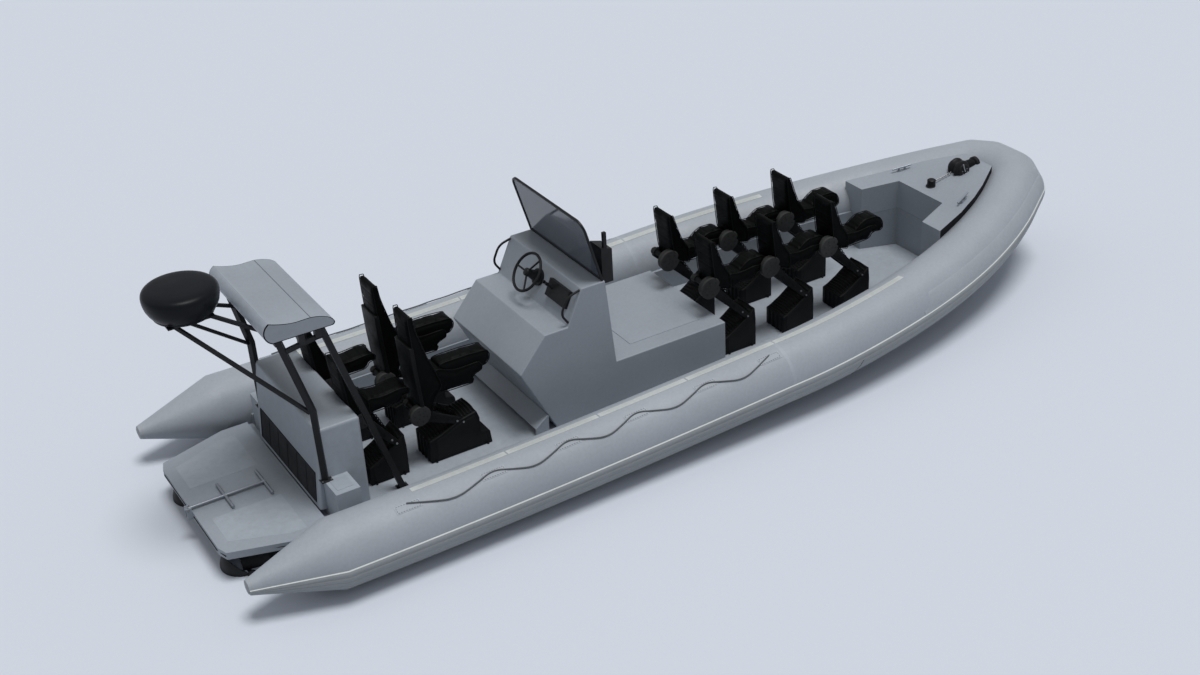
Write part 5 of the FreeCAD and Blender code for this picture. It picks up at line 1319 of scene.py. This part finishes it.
def build_seats():
    pads = {}
    for form, seats in SEAT_GROUPS:
        parts = seat_parts(form, pads)
        for seat, x in seats:
            for side_name, side in (("port", 1), ("starboard", -1)):
                node = seat + "_" + side_name
                for part, pattern, slot in parts:
                    mesh = pattern.copy()
                    mesh.transform(Matrix.Translation((x, side * SEAT_Y, 0)))
                    piece = placed(mesh, node + "_" + part, node=node)


build_seats()


# Windlass: turned gypsy, ribbed motor with a round head, cheeks, a capped chain pipe, chain and clutch lever
WINDLASS_LENGTH = 0.620
GYPSY_PROFILE = [
    (0.0, 0.0), (0.0, 0.07), (0.012, 0.078), (0.022, 0.092), (0.034, 0.1005), (0.044, 0.102), (0.056, 0.1),
    (0.064, 0.09), (0.074, 0.074), (0.09, 0.07), (0.098, 0.06), (0.099, 0.0)]
MOTOR_PROFILE = [
    (0.0, 0.0), (0.0, 0.066), (0.05, 0.062), (0.09, 0.05), (0.195, 0.0496), (0.2, 0.064), (0.206, 0.0713),
    (0.238, 0.0713), (0.246, 0.064), (0.248, 0.03), (0.248, 0.0)]
MOTOR_RIB = [(-0.003, 0.045), (-0.003, 0.056), (0.003, 0.056), (0.003, 0.045), (-0.003, 0.045)]
MOTOR_RIBS = 7
PIPE_PROFILE = [
    (0.0, 0.0), (0.0, 0.0558), (0.008, 0.0558), (0.012, 0.0460), (0.052, 0.0425), (0.060, 0.0450),
    (0.074, 0.0440), (0.0806, 0.0340), (0.0806, 0.0)]
CHAIN_LINKS = 11
LEVER_Y = -0.106


def build_chain(start, end):
    chain = bmesh.new()
    along = (end - start).normalized()
    for step in range(CHAIN_LINKS):
        middle = start.lerp(end, (step + 0.5) / CHAIN_LINKS)
        across = Vector((0, 1, 0)) if step % 2 else along.cross(Vector((0, 1, 0)))
        link = []
        for corner in range(12):
            turn = 2 * math.pi * corner / 12
            link.append(middle + along * (0.0160 * math.cos(turn)) + across * (0.0075 * math.sin(turn)))
        add_line(chain, link, 0.0030, closed=True, sides=2)
    new_piece(chain, "windlass_chain", bolt_steel)


def build_windlass():
    low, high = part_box("windlass")
    x, z = high.x - 0.40 * WINDLASS_LENGTH, low.z
    axis_z = z + 0.165 * WINDLASS_LENGTH
    pipe_x = x - 0.60 * WINDLASS_LENGTH
    body = bmesh.new()
    add_block(body, (x - 0.124, -0.087, z), (x + 0.124, 0.087, z + 0.025), 0.006)
    for side in (1, -1):
        add_turned(body, GYPSY_PROFILE, (x, 0, axis_z), (0, side, 0), 48)
    add_turned(body, MOTOR_PROFILE, (x, 0, axis_z), (1, 0, 0), 48)
    for step in range(MOTOR_RIBS):
        add_turned(body, MOTOR_RIB, (x + 0.102 + 0.0135 * step, 0, axis_z), (1, 0, 0), 40)
    for side in (1, -1):
        y = side * 0.052
        add_block(body, (x - 0.040, y - 0.010, z + 0.02), (x + 0.040, y + 0.010, axis_z), 0.004)
    add_turned(body, PIPE_PROFILE, (pipe_x, 0, z), (0, 0, 1), 40)
    new_piece(body, "windlass_body", black_plastic, smooth=30.0, node="windlass")
    build_chain(Vector((x - 0.095, 0, axis_z - 0.020)), Vector((pipe_x + 0.040, 0, z + 0.045)))
    bolts = bmesh.new()
    for dx in (-0.105, 0.105):
        for dy in (-0.070, 0.070):
            add_rod(bolts, (x + dx, dy, z + 0.024), (x + dx, dy, z + 0.032), 0.008, segments=6)
    add_bolts(bolts, (x + 0.2475, 0, axis_z), (1, 0, 0), 0.045, 6, 0.006)
    add_bolts(bolts, (x, -0.0985, axis_z), (0, -1, 0), 0.035, 6, 0.006)
    new_piece(bolts, "windlass_bolts", bolt_steel)
    lever = bmesh.new()
    bends = [(0.0, 0.0), (-0.020, 0.045), (-0.034, 0.090)]
    add_line(lever, [(x + dx, LEVER_Y, axis_z + dz) for dx, dz in bends], 0.0065, straight=True)
    new_piece(lever, "windlass_clutch_lever", bolt_steel)


# Waterjets: flange bolts and cooling ribs
JET_Z = -0.005
JET_Y = 0.600
JET_FLANGE_X = -4.122
JET_RIB_PLACES = (-4.20, -4.27, -4.34, -4.41)
JET_RIB = [(-0.006, 0.120), (-0.006, 0.163), (0.006, 0.163), (0.006, 0.120), (-0.006, 0.120)]


def build_jet_trim():
    for side_name, side in (("port", 1), ("starboard", -1)):
        bolts, ribs = bmesh.new(), bmesh.new()
        add_bolts(bolts, (JET_FLANGE_X, side * JET_Y, JET_Z), (-1, 0, 0), 0.173, 12, 0.010)
        new_piece(bolts, "jet_flange_bolts_" + side_name, bolt_steel)
        for x in JET_RIB_PLACES:
            add_turned(ribs, JET_RIB, (x, side * JET_Y, JET_Z), (1, 0, 0), 48)
        new_piece(ribs, "jet_ribs_" + side_name, casting)


build_windlass()
build_jet_trim()


# Floor, light and surroundings
FLOOR_HALF = 60.0
LAMPS = [("key", 1.90, 24, (8, 6, 0)), ("rim", 0.08, 50, (-30, -46, 0))]


def seen_pale(tree, dim, pale):
    """Pale to the camera and in reflections, plainer where it only throws light back."""
    path = tree.nodes.new("ShaderNodeLightPath")
    seen = path.outputs["Is Camera Ray"]
    for name in ("Is Glossy Ray", "Is Transmission Ray"):
        seen = combined(tree, "MAXIMUM", seen, path.outputs[name])
    return mixed(tree, seen, dim, pale)


def build_floor():
    shape = bmesh.new()
    bmesh.ops.create_grid(shape, x_segments=1, y_segments=1, size=FLOOR_HALF)
    mesh = bpy.data.meshes.new("floor")
    shape.to_mesh(mesh)
    shape.free()
    floor = bpy.data.objects.new("floor", mesh)
    scene.collection.objects.link(floor)
    material, tree, surface = shader("floor_pale", (0.62, 0.66, 0.73), 0.9)
    surface.inputs["Specular IOR Level"].default_value = 0.1
    tree.links.new(seen_pale(tree, (0.42, 0.45, 0.50), (0.66, 0.70, 0.77)), surface.inputs["Base Color"])
    floor.data.materials.append(material)


def build_lights():
    world = bpy.data.worlds.new("studio")
    scene.world = world
    world.use_nodes = True
    background = world.node_tree.nodes["Background"]
    background.inputs["Color"].default_value = (0.93, 0.96, 1.0, 1.0)
    background.inputs["Strength"].default_value = 0.36
    for name, energy, angle, turn in LAMPS:
        lamp = bpy.data.lights.new(name, "SUN")
        lamp.energy = energy
        lamp.angle = math.radians(angle)
        thing = bpy.data.objects.new(name, lamp)
        thing.rotation_euler = [math.radians(part) for part in turn]
        scene.collection.objects.link(thing)


build_floor()
build_lights()

scene.view_settings.view_transform = "Standard"
